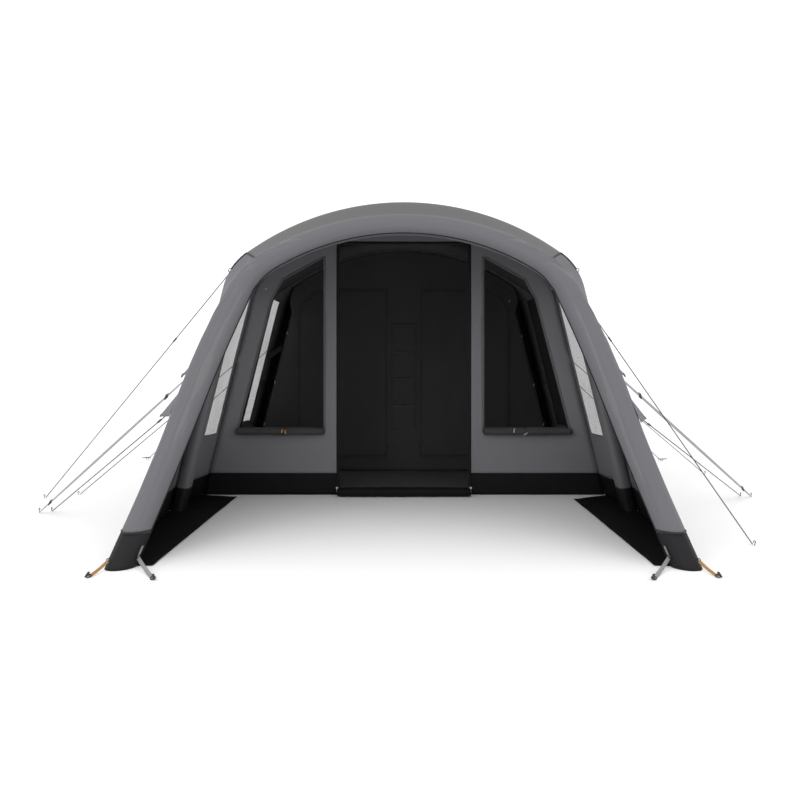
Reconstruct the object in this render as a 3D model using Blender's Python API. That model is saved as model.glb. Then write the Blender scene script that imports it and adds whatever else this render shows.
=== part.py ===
# Inflatable tunnel tent: five air beams carry a sewn flysheet, with an open porch in front
# and a hung bedroom behind. Metres, +Z up, the porch faces -Y.
#
# While it is built, Y counts from the line of the canopy's feet. The last step moves all of it,
# so that the origin is on the ground in the middle of the footprint.

import math

import bmesh
import bpy
from mathutils import Vector

# Cloth and seams
CLOTH = 0.004  # thickness of a sheet with its seam allowance
GAP = 0.0003  # between two pieces that are sewn or rest together
WALL_GAP = 0.0008  # between a hung wall and the flysheet that sags past it

# Tunnel, measured over the flysheet at a beam
HALF_WIDTH = 1.65
LEG_LEAN = math.radians(14)
CROWN = 2.16
ROOF_RADIUS = 1.88
SHOULDER_RADIUS = 0.42
SAG = 0.065  # how far the flysheet hangs in between two beams

# Air beams and where they stand
BEAM_RADIUS = 0.07
BEAM_SIDES = 12
PORCH_BEAM_Y = 1.58
LIVING_BAY = 1.36
BEDROOM_BAY = 1.6
REAR_BAY = 1.31
LIVING_BEAM_Y = PORCH_BEAM_Y + LIVING_BAY
BEDROOM_BEAM_Y = LIVING_BEAM_Y + BEDROOM_BAY
REAR_BEAM_Y = BEDROOM_BEAM_Y + REAR_BAY

# Canopy band, an arch that leans back from its feet
CANOPY_RAKE = math.radians(33.6)
CANOPY_DRAW = 0.203  # how much narrower its feet stand than the tunnel's
CANOPY_DROP = 0.1935  # how much lower its crown lies than the tunnel's
CANOPY_HALF_WIDTH = HALF_WIDTH - CANOPY_DRAW  # at the beam's middle, on the ground
CANOPY_LEAN = math.radians(13.3)
CANOPY_LENGTH = (CROWN - CANOPY_DROP) / math.cos(CANOPY_RAKE)  # from the ground, along the slope
CANOPY_ROOF_RADIUS = 1.36
CANOPY_SHOULDER_RADIUS = 0.4
CANOPY_SAG = 0.03
BAND_HALF_TURN = math.radians(90)
BAND_STEPS = 6
BAND_OVER = BEAM_RADIUS + GAP + CLOTH  # from the beam's middle to the band's outside

# Heights and openings
MUD_HEIGHT = 0.165
SILL = 0.49
WINDOW_TOP_ROW = 1.25  # the row of the shoulder where the side windows end
PORCH_DEPTH = 0.67  # from the porch beam to the front wall
FRONT_WALL_Y = PORCH_BEAM_Y + PORCH_DEPTH
DOOR_HALF = 0.518
DOOR_HEAD = 0.18  # from the crown down to the doorway
DOOR_TOP = CROWN - DOOR_HEAD
FRONT_WINDOW_INNER = 0.624
FRONT_WINDOW_MARGIN = 0.18
FRONT_WINDOW_SHOULDER_DROP = 0.625  # from the crown down to its corners
FRONT_WINDOW_SLOPE_DROP = 0.467
FRONT_WINDOW_DROP = 0.283
WINDOW_MARGIN = 0.09  # from the middle of a beam to the window beside it
PORCH_WINDOW_END = 0.06  # from the window to the front wall
LIVING_WINDOW_LENGTH = 0.56

# Rear wall
REAR_BELLY = 0.26  # how far its foot stands out behind the last beam

# Ground pieces
FLAP_INNER = 1.29
FLAP_START = 0.11
FLAP_CLEARANCE = 0.012
LEFT_FLAP_GAP = 0.11  # from its rear corner to the front wall
RIGHT_FLAP_GAP = 0.22

# Rolled covers
DOOR_ROLL_RADIUS = 0.043
DOOR_ROLL_HALF = 0.492
DOOR_ROLL_TAIL = 0.085
WINDOW_ROLL_RADIUS = 0.036
WINDOW_ROLL_RISE = 0.014  # from the sill up to its middle
ROLL_SIDES = 12
ROLL_STEP_SHARE = 0.07  # how much smaller a roll has become after one turn

# Zip sliders of the front door
SLIDER_WIDTH = 0.02
SLIDER_DEPTH = 0.009
SLIDER_BODY = 0.016
SLIDER_PULL = 0.034
SLIDER_PULL_WIDTH = 0.009
SLIDER_NECK = 0.006
SLIDER_REST = 0.012
SLIDER_IN = 0.004  # how far it reaches past the doorway's edge

# Bedroom
LIVING_REST = 0.67  # from the living beam to the bedroom's front
BEDROOM_LENGTH = 2.01
BEDROOM_FRONT_Y = LIVING_BEAM_Y + LIVING_REST
BEDROOM_REAR_Y = BEDROOM_FRONT_Y + BEDROOM_LENGTH
BEDROOM_INSET = 0.2  # from the flysheet to the bedroom's skin
BEDROOM_DOOR_INNER = 0.165
BEDROOM_DOOR_OUTER = 1.0
BEDROOM_DOOR_BOTTOM = 0.14
BEDROOM_DOOR_DROP = 0.43  # from the crown down to the doors
BEDROOM_DOOR_CORNER = 0.3
CORNER_STEPS = 4
DOOR_GAP = 0.0006

# Pocket organiser
POCKETS = 4
POCKET_HEIGHT = 0.257
ORGANISER_BOTTOM = 0.38
ORGANISER_HALF = 0.115
ORGANISER_BACK = 0.005
POCKET_SWELL = 0.016
POCKET_LIP = 0.014

# Valves, on the rear side of each beam's right leg
VALVE_HEIGHT = 0.42
VALVE_FLANGE_RADIUS = 0.024
VALVE_FLANGE = 0.006
VALVE_NECK_RADIUS = 0.013
VALVE_NECK = 0.014
VALVE_SEAT = 0.01  # how far the valve goes into the beam
VALVE_SIDES = 14
CAP_RADIUS = 0.0155
CAP_THICK = 0.006
CAP_HINGE_RISE = 0.004

# Straps at the canopy's feet
STRAP_WIDTH = 0.025
STRAP_THICK = 0.003
STRAP_HEIGHT = 0.045
LADDER_STRAP_END = (1.515, -0.21)
LADDER_STRAP_TURN = math.radians(15)
WEBBING_STRAP_END = (1.237, -0.25)
WEBBING_STRAP_TURN = math.radians(-45)
STITCH_DEPTH = CLOTH / 3

# Guy lines
ROPE_RADIUS = 0.003
ROPE_POINTS = 12
STORM_STRAP_WIDTH = 0.025
STORM_STRAP_THICK = 0.002
RUNNER_LENGTH = 0.038
RUNNER_WIDTH = 0.016
RUNNER_THICK = 0.01
RUNNER_BORE = 0.0037
RUNNER_SIDES = 8
ROPE_END_HEIGHT = 0.004
STRAP_END_HEIGHT = 0.0105

# Each guy line: its side, the height of its start, the station of its start or none on the canopy's
# band, and its end on the ground
GUY_LINES = {
    "guy_porch_left": (-1, 1.72, PORCH_BEAM_Y, (-2.75, 2.10)),
    "guy_porch_right": (1, 1.43, PORCH_BEAM_Y, (2.0, 0.50)),
    "guy_canopy_left": (-1, 0.795, None, (-2.46, 1.545)),
    "guy_canopy_right": (1, 0.765, None, (2.62, 2.19)),
    "guy_living_left": (-1, 1.1, LIVING_BEAM_Y, (-2.549, 2.26)),
    "guy_living_right": (1, 1.13, LIVING_BEAM_Y, (2.79, 3.43)),
    "guy_bedroom_left": (-1, 1.27, BEDROOM_BEAM_Y, (-2.73, 4.54)),
    "guy_bedroom_right": (1, 1.27, BEDROOM_BEAM_Y, (2.70, 4.41)),
}
STORM_STRAPS = {
    "storm_strap_left": (-1, 0.985, None, (-2.52, 1.49)),
    "storm_strap_right": (1, 0.985, None, (2.68, 2.14)),
}
RUNNER_PLACES = {
    "guy_porch_left": 0.3,
    "guy_porch_right": 0.16,
    "guy_canopy_left": 0.12,
    "guy_canopy_right": 0.12,
    "guy_living_left": 0.3,
    "guy_living_right": 0.3,
}

# Materials: colour, roughness, metallic
FINISHES = {
    "canopy_grey": ((0.155, 0.152, 0.158, 1), 0.75, 0),
    "roof_grey": ((0.2, 0.2, 0.185, 1), 0.75, 0),
    "wall_grey": ((0.11, 0.108, 0.112, 1), 0.8, 0),
    "beam_grey": ((0.3, 0.3, 0.31, 1), 0.6, 0),
    "mud_black": ((0.012, 0.012, 0.013, 1), 0.7, 0),
    "bedroom_black": ((0.018, 0.018, 0.02, 1), 0.85, 0),
    "ground_grey": ((0.05, 0.05, 0.053, 1), 0.8, 0),
    "clear_sheet": ((0.75, 0.78, 0.8, 0.4), 0.12, 0),
    "rope_grey": ((0.35, 0.35, 0.36, 1), 0.8, 0),
    "webbing_grey": ((0.42, 0.42, 0.43, 1), 0.75, 0),
    "fitting_black": ((0.02, 0.02, 0.02, 1), 0.4, 0),
    "zip_metal": ((0.6, 0.6, 0.6, 1), 0.3, 1),
}


class Arch:
    """Half an arch in its own plane: a straight leg, a shoulder arc and a roof arc, each tangent.

    Its rows run from 0 at the right foot, over 1 and 2 at the shoulder's ends and 3 at the crown,
    to 6 at the left foot.
    """

    def __init__(self, half_width, lean, crown, roof_radius, shoulder_radius):
        self.half_width = half_width
        self.lean = lean
        self.roof_radius = roof_radius
        self.shoulder_radius = shoulder_radius
        self.roof_centre = crown - roof_radius
        self.out = Vector((math.cos(lean), math.sin(lean)))
        self.up = Vector((-math.sin(lean), math.cos(lean)))
        away = half_width * math.cos(lean) - shoulder_radius
        across = away - self.roof_centre * math.sin(lean)
        along = math.sqrt((roof_radius - shoulder_radius) ** 2 - across**2)
        along += self.roof_centre * math.cos(lean)
        self.shoulder_centre = self.out * away + self.up * along
        self.leg_length = along + half_width * math.sin(lean)
        self.leg_angle = math.pi / 2 - lean
        turned = self.shoulder_centre - Vector((0, self.roof_centre))
        self.roof_angle = math.atan2(turned.x, turned.y)

    def out_at(self, row):
        """The way out of the arch at a row; at the foot it is level, so that feet stay on the ground."""
        if row > 3:
            mirrored = self.out_at(6 - row)
            return Vector((-mirrored.x, mirrored.y))
        if row < 1:
            return self.out - self.up * (math.tan(self.lean) * (1 - row))
        if row < 2:
            angle = self.leg_angle + (self.roof_angle - self.leg_angle) * (row - 1)
        else:
            angle = self.roof_angle * (3 - row)
        return Vector((math.sin(angle), math.cos(angle)))

    def point(self, row, depth=0):
        """The point of a row, depth inside the arch."""
        if row > 3:
            mirrored = self.point(6 - row, depth)
            return Vector((-mirrored.x, mirrored.y))
        if row < 1:
            start = Vector((self.half_width, 0)) + self.up * (row * self.leg_length)
        elif row < 2:
            start = self.shoulder_centre + self.out_at(row) * self.shoulder_radius
        else:
            start = Vector((0, self.roof_centre)) + self.out_at(row) * self.roof_radius
        return start - self.out_at(row) * depth

    def row_at(self, height):
        """The leg's row at a height."""
        return height / (self.leg_length * math.cos(self.lean))

    def width_at(self, height, depth):
        """Half the width inside the arch at a height."""
        foot = self.half_width - depth / math.cos(self.lean)
        rise = height - self.shoulder_centre.y
        radius = self.shoulder_radius - depth
        if rise < radius * math.cos(self.leg_angle):
            return foot - height * math.tan(self.lean)
        if rise < radius * math.cos(self.roof_angle):
            return self.shoulder_centre.x + math.sqrt(radius**2 - rise**2)
        return math.sqrt((self.roof_radius - depth) ** 2 - (height - self.roof_centre) ** 2)

    def rows_for(self, row, length):
        """How many rows a length along the arch is, near a row."""
        near = min(row, 6 - row)
        if near < 1:
            return length / self.leg_length
        if near < 2:
            return length / (self.shoulder_radius * (self.leg_angle - self.roof_angle))
        return length / (self.roof_radius * self.roof_angle)


class Slope:
    """An arch's plane, which starts at station y and leans back by rake."""

    def __init__(self, y, rake=0):
        self.y = y
        self.up = Vector((0, math.sin(rake), math.cos(rake)))
        self.front = Vector((0, -math.cos(rake), math.sin(rake)))

    def turned(self, flat):
        return Vector((flat.x, 0, 0)) + self.up * flat.y

    def placed(self, flat):
        return Vector((0, self.y, 0)) + self.turned(flat)


TUNNEL = Arch(HALF_WIDTH, LEG_LEAN, CROWN, ROOF_RADIUS, SHOULDER_RADIUS)
CANOPY = Arch(
    CANOPY_HALF_WIDTH, CANOPY_LEAN, CANOPY_LENGTH, CANOPY_ROOF_RADIUS, CANOPY_SHOULDER_RADIUS
)
CANOPY_PLANE = Slope(0, CANOPY_RAKE)
BAYS = (
    (PORCH_BEAM_Y, LIVING_BEAM_Y),
    (LIVING_BEAM_Y, BEDROOM_BEAM_Y),
    (BEDROOM_BEAM_Y, REAR_BEAM_Y),
)
SHOULDER_ROWS = [1, 1.25, 1.5, 1.75]
ROOF_ROWS = [2, 2.2, 2.4, 2.6, 2.8, 3, 3.2, 3.4, 3.6, 3.8, 4]
ARCH_ROWS = [0, *SHOULDER_ROWS, *ROOF_ROWS, 4.25, 4.5, 4.75, 5, 6]
WING_ROWS = [0, 0.35, 0.7, 1, 1.25, 1.5, 1.75]
WING_SHARES = [0, 0.2, 0.4, 0.6, 0.8, 1]
REAR_ROWS = [0.4, 0.7, 1, 1.25, 1.5, 1.75, 2, 2.2, 2.4, 2.6, 2.8]
BEAM_DEPTH = CLOTH + WALL_GAP + BEAM_RADIUS

made = []


def clear_scene():
    for each in list(bpy.data.objects):
        bpy.data.objects.remove(each, do_unlink=True)


def finish_material(name):
    found = bpy.data.materials.get(name)
    if found:
        return found
    colour, roughness, metallic = FINISHES[name]
    new = bpy.data.materials.new(name)
    new.use_nodes = True
    new.diffuse_color = colour
    shader = new.node_tree.nodes["Principled BSDF"]
    shader.inputs["Base Color"].default_value = colour
    shader.inputs["Roughness"].default_value = roughness
    shader.inputs["Metallic"].default_value = metallic
    shader.inputs["Alpha"].default_value = colour[3]
    return new


def add_object(name, shape, finish, pivot=(0, 0, 0)):
    """An object from a bmesh, with its origin at the pivot."""
    pivot = Vector(pivot)
    bmesh.ops.translate(shape, vec=-pivot, verts=shape.verts[:])
    bmesh.ops.recalc_face_normals(shape, faces=shape.faces[:])
    if shape.calc_volume(signed=True) < 0:
        bmesh.ops.reverse_faces(shape, faces=shape.faces[:])
    mesh = bpy.data.meshes.new(name)
    shape.to_mesh(mesh)
    shape.free()
    mesh.materials.append(finish_material(finish))
    mesh.shade_smooth()
    mesh.set_sharp_from_angle(angle=math.radians(35))
    new = bpy.data.objects.new(name, mesh)
    new.location = pivot
    bpy.context.scene.collection.objects.link(new)
    made.append(new)
    return new


def join_to(target, helper):
    """Makes a helper one body with its target."""
    helper.hide_render = True
    helper.display_type = "WIRE"
    union = target.modifiers.new("join " + helper.name, "BOOLEAN")
    union.operation = "UNION"
    union.solver = "EXACT"
    union.object = helper


def shell(rows, columns, outer, inner, skipped=()):
    """A closed sheet between two surfaces, with a hole at each skipped cell."""
    shape = bmesh.new()
    outside = [[shape.verts.new(outer(row, column)) for column in columns] for row in rows]
    inside = [[shape.verts.new(inner(row, column)) for column in columns] for row in rows]
    cells = [(i, j) for i in range(len(rows) - 1) for j in range(len(columns) - 1)]
    kept = [cell for cell in cells if cell not in skipped]
    for i, j in kept:
        corners = [(i, j), (i, j + 1), (i + 1, j + 1), (i + 1, j)]
        shape.faces.new([outside[a][b] for a, b in corners])
        shape.faces.new([inside[a][b] for a, b in reversed(corners)])
        beside = [(i - 1, j), (i, j + 1), (i + 1, j), (i, j - 1)]
        for turn, cell in enumerate(beside):
            if cell not in kept:
                a, b = corners[turn]
                c, d = corners[(turn + 1) % 4]
                shape.faces.new([outside[c][d], outside[a][b], inside[a][b], inside[c][d]])
    loose = [vert for vert in shape.verts if not vert.link_faces]
    bmesh.ops.delete(shape, geom=loose, context="VERTS")
    return shape


def prism(outline, holes, along, place):
    """A flat outline with holes, placed in space and extruded by a vector."""
    shape = bmesh.new()
    edges = []
    for loop in [outline, *holes]:
        corners = [shape.verts.new(place(a, b)) for a, b in loop]
        following = corners[1:] + corners[:1]
        edges += [shape.edges.new(pair) for pair in zip(corners, following)]
    bmesh.ops.triangle_fill(shape, use_beauty=True, edges=edges)
    pushed = bmesh.ops.extrude_face_region(shape, geom=shape.faces[:])["geom"]
    verts = [each for each in pushed if isinstance(each, bmesh.types.BMVert)]
    bmesh.ops.translate(shape, vec=along, verts=verts)
    return shape


def standing_panel(outline, holes, y):
    """A wall of cloth whose front face is at station y."""
    return prism(outline, holes, Vector((0, CLOTH, 0)), lambda x, z: (x, y, z))


def ground_panel(outline):
    return prism(outline, [], Vector((0, 0, CLOTH)), lambda x, y: (x, y, 0))


def cross_prism(outline, low, high):
    """An outline in Y and Z, extruded from one X to another."""
    return prism(outline, [], Vector((high - low, 0, 0)), lambda y, z: (low, y, z))


def section_point(arch, plane, row, angle, radius, level_until=0):
    """A point round the line of an arch: angle 0 faces the front and 90 degrees faces out.

    Up to a row the legs are cut level.
    """
    if row > 3:
        mirrored = section_point(arch, plane, 6 - row, angle, radius, level_until)
        return Vector((-mirrored.x, mirrored.y, mirrored.z))
    centre = plane.placed(arch.point(row))
    out = arch.out if row < 1 else arch.out_at(row)
    point = centre + (plane.turned(out) * math.sin(angle) + plane.front * math.cos(angle)) * radius
    if row <= level_until:
        up = plane.turned(arch.up)
        point += up * ((centre.z - point.z) / up.z)
    return point


def beam_shape(arch, plane):
    """An air beam: rings of points along the arch, closed by flat feet."""
    shape = bmesh.new()
    turns = [2 * math.pi * k / BEAM_SIDES for k in range(BEAM_SIDES)]
    rings = []
    for row in ARCH_ROWS:
        ring = [section_point(arch, plane, row, turn, BEAM_RADIUS) for turn in turns]
        rings.append([shape.verts.new(point) for point in ring])
    for near, far in zip(rings, rings[1:]):
        for k in range(BEAM_SIDES):
            after = (k + 1) % BEAM_SIDES
            shape.faces.new([near[k], near[after], far[after], far[k]])
    shape.faces.new(rings[0])
    shape.faces.new(rings[-1])
    return shape


def middle_line(arch, depth):
    """The same arch drawn smaller, as the line of a beam that lies depth inside it."""
    crown = arch.roof_centre + arch.roof_radius
    return Arch(
        arch.half_width - depth / math.cos(arch.lean),
        arch.lean,
        crown - depth,
        arch.roof_radius - depth,
        arch.shoulder_radius - depth,
    )


BEAM_LINE = middle_line(TUNNEL, BEAM_DEPTH)


def valve_place(arch, plane, turn):
    """Where a valve sits on the right leg, and where it points; turn 0 is the front of the arch."""
    on_leg = section_point(arch, plane, arch.row_at(VALVE_HEIGHT), turn, BEAM_RADIUS)
    return on_leg, plane.front * math.cos(turn)


def turned_pin(place, axis, profile):
    """A round pin along an axis, from pairs of distance along it and radius."""
    shape = bmesh.new()
    turn = axis.to_track_quat("Z", "Y").to_matrix()
    rings = []
    for along, radius in profile:
        angles = [2 * math.pi * k / VALVE_SIDES for k in range(VALVE_SIDES)]
        flat = [Vector((math.cos(a) * radius, math.sin(a) * radius, along)) for a in angles]
        rings.append([shape.verts.new(place + turn @ point) for point in flat])
    for near, far in zip(rings, rings[1:]):
        for k in range(VALVE_SIDES):
            after = (k + 1) % VALVE_SIDES
            shape.faces.new([near[k], near[after], far[after], far[k]])
    shape.faces.new(rings[0])
    shape.faces.new(rings[-1])
    return shape


def air_beam(name, arch, plane, valve_turn=math.pi):
    """A beam with its valve welded on, and the valve's cap on its hinge."""
    beam = add_object("air_beam_" + name, beam_shape(arch, plane), "beam_grey")
    place, axis = valve_place(arch, plane, valve_turn)
    flange_top = VALVE_FLANGE
    neck_top = flange_top + VALVE_NECK
    profile = [
        (-VALVE_SEAT, VALVE_FLANGE_RADIUS),
        (flange_top, VALVE_FLANGE_RADIUS),
        (flange_top, VALVE_NECK_RADIUS),
        (neck_top, VALVE_NECK_RADIUS),
    ]
    valve = add_object("valve_" + name, turned_pin(place, axis, profile), "fitting_black")
    join_to(beam, valve)
    seat = place + axis * (neck_top + GAP)
    cap = turned_pin(seat, axis, [(0, CAP_RADIUS), (CAP_THICK, CAP_RADIUS)])
    upright = (Vector((0, 0, 1)) - axis * axis.z).normalized()
    hinge = seat + upright * (CAP_RADIUS + CAP_HINGE_RISE)
    add_object("valve_cap_" + name, cap, "fitting_black", pivot=hinge)


def skin_sag(y):
    """How deep the flysheet hangs at a station."""
    for front, rear in BAYS:
        if front < y < rear:
            return SAG * math.sin(math.pi * (y - front) / (rear - front)) ** 2
    return 0


def skin_point(row, y, depth=0):
    flat = TUNNEL.point(row, skin_sag(y) + depth)
    return Vector((flat.x, y, flat.y))


def spread(start, end, steps):
    """Stations from start to end, without the last."""
    return [start + (end - start) * k / steps for k in range(steps)]


PORCH_WINDOW = (PORCH_BEAM_Y + WINDOW_MARGIN, FRONT_WALL_Y - PORCH_WINDOW_END)
LIVING_WINDOW = (LIVING_BEAM_Y + WINDOW_MARGIN, LIVING_BEAM_Y + WINDOW_MARGIN + LIVING_WINDOW_LENGTH)
SKIN_START = PORCH_BEAM_Y - BEAM_RADIUS
SKIN_END = REAR_BEAM_Y + BEAM_RADIUS + CLOTH
SKIN_STATIONS = [
    SKIN_START,
    PORCH_BEAM_Y,
    *spread(*PORCH_WINDOW, 3),
    *spread(PORCH_WINDOW[1], LIVING_BEAM_Y, 4),
    LIVING_BEAM_Y,
    *spread(*LIVING_WINDOW, 3),
    *spread(LIVING_WINDOW[1], BEDROOM_BEAM_Y, 4),
    *spread(BEDROOM_BEAM_Y, REAR_BEAM_Y, 6),
    REAR_BEAM_Y,
    SKIN_END,
]
MUD_ROW = TUNNEL.row_at(MUD_HEIGHT)
SILL_ROW = TUNNEL.row_at(SILL)
SIDE_ROWS = [MUD_ROW, SILL_ROW, (SILL_ROW + 1) / 2, 1, WINDOW_TOP_ROW, 1.5, 1.75, 2]


def seamed(arch, rows):
    """The rows of a panel whose two long edges stay half a gap off the seam."""
    first = rows[0] + arch.rows_for(rows[0], GAP / 2)
    last = rows[-1] - arch.rows_for(rows[-1] - (rows[-1] - rows[-2]) / 2, GAP / 2)
    return [first, *rows[1:-1], last]


def sided(row, side):
    return row if side > 0 else 6 - row


def skin_panel(name, rows, stations, finish, side=1, skipped=()):
    rows = seamed(TUNNEL, rows)
    shape = shell(
        rows,
        stations,
        lambda row, y: skin_point(sided(row, side), y),
        lambda row, y: skin_point(sided(row, side), y, CLOTH),
        skipped,
    )
    return add_object(name, shape, finish)


def window_cells(window):
    """The cells of a side panel that a window takes."""
    rows = range(SIDE_ROWS.index(SILL_ROW), SIDE_ROWS.index(WINDOW_TOP_ROW))
    columns = [k for k, y in enumerate(SKIN_STATIONS) if window[0] <= y < window[1]]
    return [(i, j) for i in rows for j in columns]


def window_pane(name, window, side):
    low, high = window
    stations = [low + GAP, *[y for y in SKIN_STATIONS if low < y < high], high - GAP]
    rows = [row for row in SIDE_ROWS if SILL_ROW <= row <= WINDOW_TOP_ROW]
    rows[0] += TUNNEL.rows_for(rows[0], GAP / 2)
    rows[-1] -= TUNNEL.rows_for(rows[-1], GAP / 2)
    skin_panel(name, rows, stations, "clear_sheet", side)


def flysheet():
    """Roof, sides, mud walls and clear windows of the tunnel."""
    skin_panel("roof", ROOF_ROWS, SKIN_STATIONS, "roof_grey")
    holes = window_cells(PORCH_WINDOW) + window_cells(LIVING_WINDOW)
    for side, word in ((-1, "left"), (1, "right")):
        skin_panel("side_" + word, SIDE_ROWS, SKIN_STATIONS, "wall_grey", side, holes)
        window_pane("porch_window_" + word, PORCH_WINDOW, side)
        window_pane("living_window_" + word, LIVING_WINDOW, side)
        mud = shell(
            [0, MUD_ROW - TUNNEL.rows_for(MUD_ROW, GAP / 2)],
            SKIN_STATIONS,
            lambda row, y: skin_point(sided(row, side), y),
            lambda row, y: skin_point(sided(row, side), y, CLOTH),
        )
        add_object("mud_wall_" + word, mud, "mud_black")


def rear_wall():
    """The rear wall swells out to its foot. Its upper part and its mud wall meet at a level seam."""
    start = SKIN_END + GAP
    shares = (-1, -0.8, -0.5, -0.2, 0.2, 0.5, 0.8, 1)
    heights = [TUNNEL.point(row, CLOTH + GAP).y for row in REAR_ROWS]
    top = CROWN - CLOTH

    def place(height, share, back):
        swell = REAR_BELLY * (1 - height / CROWN) * (1 - abs(share) ** 3)
        return Vector((TUNNEL.width_at(height, 0) * share, start + swell + back, height))

    def wall(levels):
        return shell(
            levels,
            shares,
            lambda height, share: place(height, share, CLOTH),
            lambda height, share: place(height, share, 0),
        )

    add_object("rear_mud_wall", wall([0, MUD_HEIGHT - GAP / 2]), "mud_black")
    upper = [MUD_HEIGHT + GAP / 2, *heights, (heights[-1] + top) / 2, top]
    add_object("rear_wall", wall(upper), "wall_grey")


def canopy():
    """The raked band at the front, its feet, and the cloth from it back to the porch beam."""
    over = BAND_OVER
    under = over - CLOTH
    foot_row = MUD_HEIGHT / (CANOPY.leg_length * CANOPY_PLANE.turned(CANOPY.up).z)
    half_seam = CANOPY.rows_for(foot_row, GAP / 2)
    angles = [
        -BAND_HALF_TURN + 2 * BAND_HALF_TURN * k / BAND_STEPS for k in range(BAND_STEPS + 1)
    ]

    def band(rows):
        level = foot_row + half_seam
        return shell(
            rows,
            angles,
            lambda row, angle: section_point(CANOPY, CANOPY_PLANE, row, angle, over, level),
            lambda row, angle: section_point(CANOPY, CANOPY_PLANE, row, angle, under, level),
        )

    upper = [foot_row + half_seam, *ARCH_ROWS[1:-1], 6 - foot_row - half_seam]
    add_object("front_band", band(upper), "canopy_grey")
    edge = SKIN_START - GAP

    def cover(row, share, depth):
        front = section_point(CANOPY, CANOPY_PLANE, row, math.pi / 2, over - depth)
        front -= CANOPY_PLANE.front * GAP
        flat = TUNNEL.point(row, depth)
        rear = Vector((flat.x, edge, flat.y))
        sunk = TUNNEL.out_at(row) * (CANOPY_SAG * math.sin(math.pi * share) ** 2)
        if row in (0, 6):
            front.z = 0
        return front.lerp(rear, share) - Vector((sunk.x, 0, sunk.y))

    def cover_panel(rows):
        return shell(
            rows,
            WING_SHARES,
            lambda row, share: cover(row, share, 0),
            lambda row, share: cover(row, share, CLOTH),
        )

    add_object("canopy_top", cover_panel(seamed(TUNNEL, ROOF_ROWS)), "roof_grey")
    for side, word in ((-1, "left"), (1, "right")):
        rows = [*WING_ROWS, 2 - TUNNEL.rows_for(WING_ROWS[-1], GAP / 2)]
        wing = cover_panel([sided(row, side) for row in rows])
        add_object("canopy_wing_" + word, wing, "canopy_grey")
        foot = band([sided(0, side), sided(foot_row - half_seam, side)])
        foot = add_object("band_foot_" + word, foot, "mud_black")
        straps = (
            ("ladder", LADDER_STRAP_TURN, LADDER_STRAP_END),
            ("webbing", WEBBING_STRAP_TURN, WEBBING_STRAP_END),
        )
        for kind, turn, end in straps:
            row = CANOPY.row_at(STRAP_HEIGHT) / math.cos(CANOPY_RAKE)
            sewn = (over - STITCH_DEPTH) * math.cos(BAND_HALF_TURN / BAND_STEPS / 2)
            start = section_point(CANOPY, CANOPY_PLANE, sided(row, side), turn, sewn, 1)
            tip = Vector((side * end[0], end[1], STRAP_THICK))
            strap = ribbon(start, tip, Vector((0, 0, 1)), STRAP_WIDTH, STRAP_THICK)
            helper = add_object("_".join([kind, "strap", word]), strap, "webbing_grey")
            join_to(foot, helper)


def ribbon(start, end, facing, width, thick):
    """A flat strap between two points, whose broad side faces one way as far as it can."""
    along = (end - start).normalized()
    across = along.cross(facing).normalized() * (width / 2)
    over = across.cross(along).normalized() * (thick / 2)
    shape = bmesh.new()
    rings = []
    for centre in (start, end):
        corners = [centre + across + over, centre - across + over, centre - across - over]
        corners.append(centre + across - over)
        rings.append([shape.verts.new(corner) for corner in corners])
    for k in range(4):
        after = (k + 1) % 4
        shape.faces.new([rings[0][k], rings[0][after], rings[1][after], rings[1][k]])
    shape.faces.new(rings[0])
    shape.faces.new(rings[1])
    return shape


def wall_outline(y, depth, low_row):
    """The inside of the flysheet at a station, from the right leg over the roof to the left leg."""
    deepest = max(skin_sag(y), skin_sag(y + CLOTH)) + depth
    rows = [low_row, *ARCH_ROWS[1:-1], 6 - low_row]
    return [tuple(TUNNEL.point(row, deepest)) for row in rows]


def front_wall():
    """The wall behind the porch, with its doorway and two windows, and the black wall at its foot."""
    inside = CLOTH + WALL_GAP
    low_row = MUD_ROW + TUNNEL.rows_for(MUD_ROW, GAP / 2)
    outline = wall_outline(FRONT_WALL_Y, inside, low_row)
    base = outline[0][1]
    outline += [(-DOOR_HALF, base), (-DOOR_HALF, DOOR_TOP), (DOOR_HALF, DOOR_TOP), (DOOR_HALF, base)]
    deepest = skin_sag(FRONT_WALL_Y) + inside
    window = [(FRONT_WINDOW_INNER, SILL)]
    for height in (SILL, CROWN - FRONT_WINDOW_SHOULDER_DROP, CROWN - FRONT_WINDOW_SLOPE_DROP):
        window.append((TUNNEL.width_at(height, deepest) - FRONT_WINDOW_MARGIN, height))
    window.append((FRONT_WINDOW_INNER, CROWN - FRONT_WINDOW_DROP))
    windows = [window, [(-x, z) for x, z in window]]
    add_object("front_wall", standing_panel(outline, windows, FRONT_WALL_Y), "wall_grey")
    for side, word in ((-1, "left"), (1, "right")):
        top = base - GAP
        corners = [(DOOR_HALF, 0), (TUNNEL.width_at(0, deepest), 0)]
        corners += [(TUNNEL.width_at(top, deepest), top), (DOOR_HALF, top)]
        mud = standing_panel([(side * x, z) for x, z in corners], [], FRONT_WALL_Y)
        add_object("front_mud_" + word, mud, "mud_black")
        roll = rolled_cover(WINDOW_ROLL_RADIUS)
        middle = SILL + WINDOW_ROLL_RISE
        behind = FRONT_WALL_Y - GAP - WINDOW_ROLL_RADIUS
        roll = [(behind + y, middle + z) for y, z in roll]
        ends = sorted((side * window[0][0], side * window[1][0]))
        add_object("window_roll_" + word, cross_prism(roll, *ends), "wall_grey")


def rolled_cover(radius):
    """The outline of a roll of cloth round its middle, with a step where the outer layer ends."""
    outline = []
    for k in range(ROLL_SIDES):
        turn = 2 * math.pi * k / ROLL_SIDES
        swell = radius * (1 - ROLL_STEP_SHARE * k / ROLL_SIDES)
        outline.append((math.cos(turn) * swell, math.sin(turn) * swell))
    return outline


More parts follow.
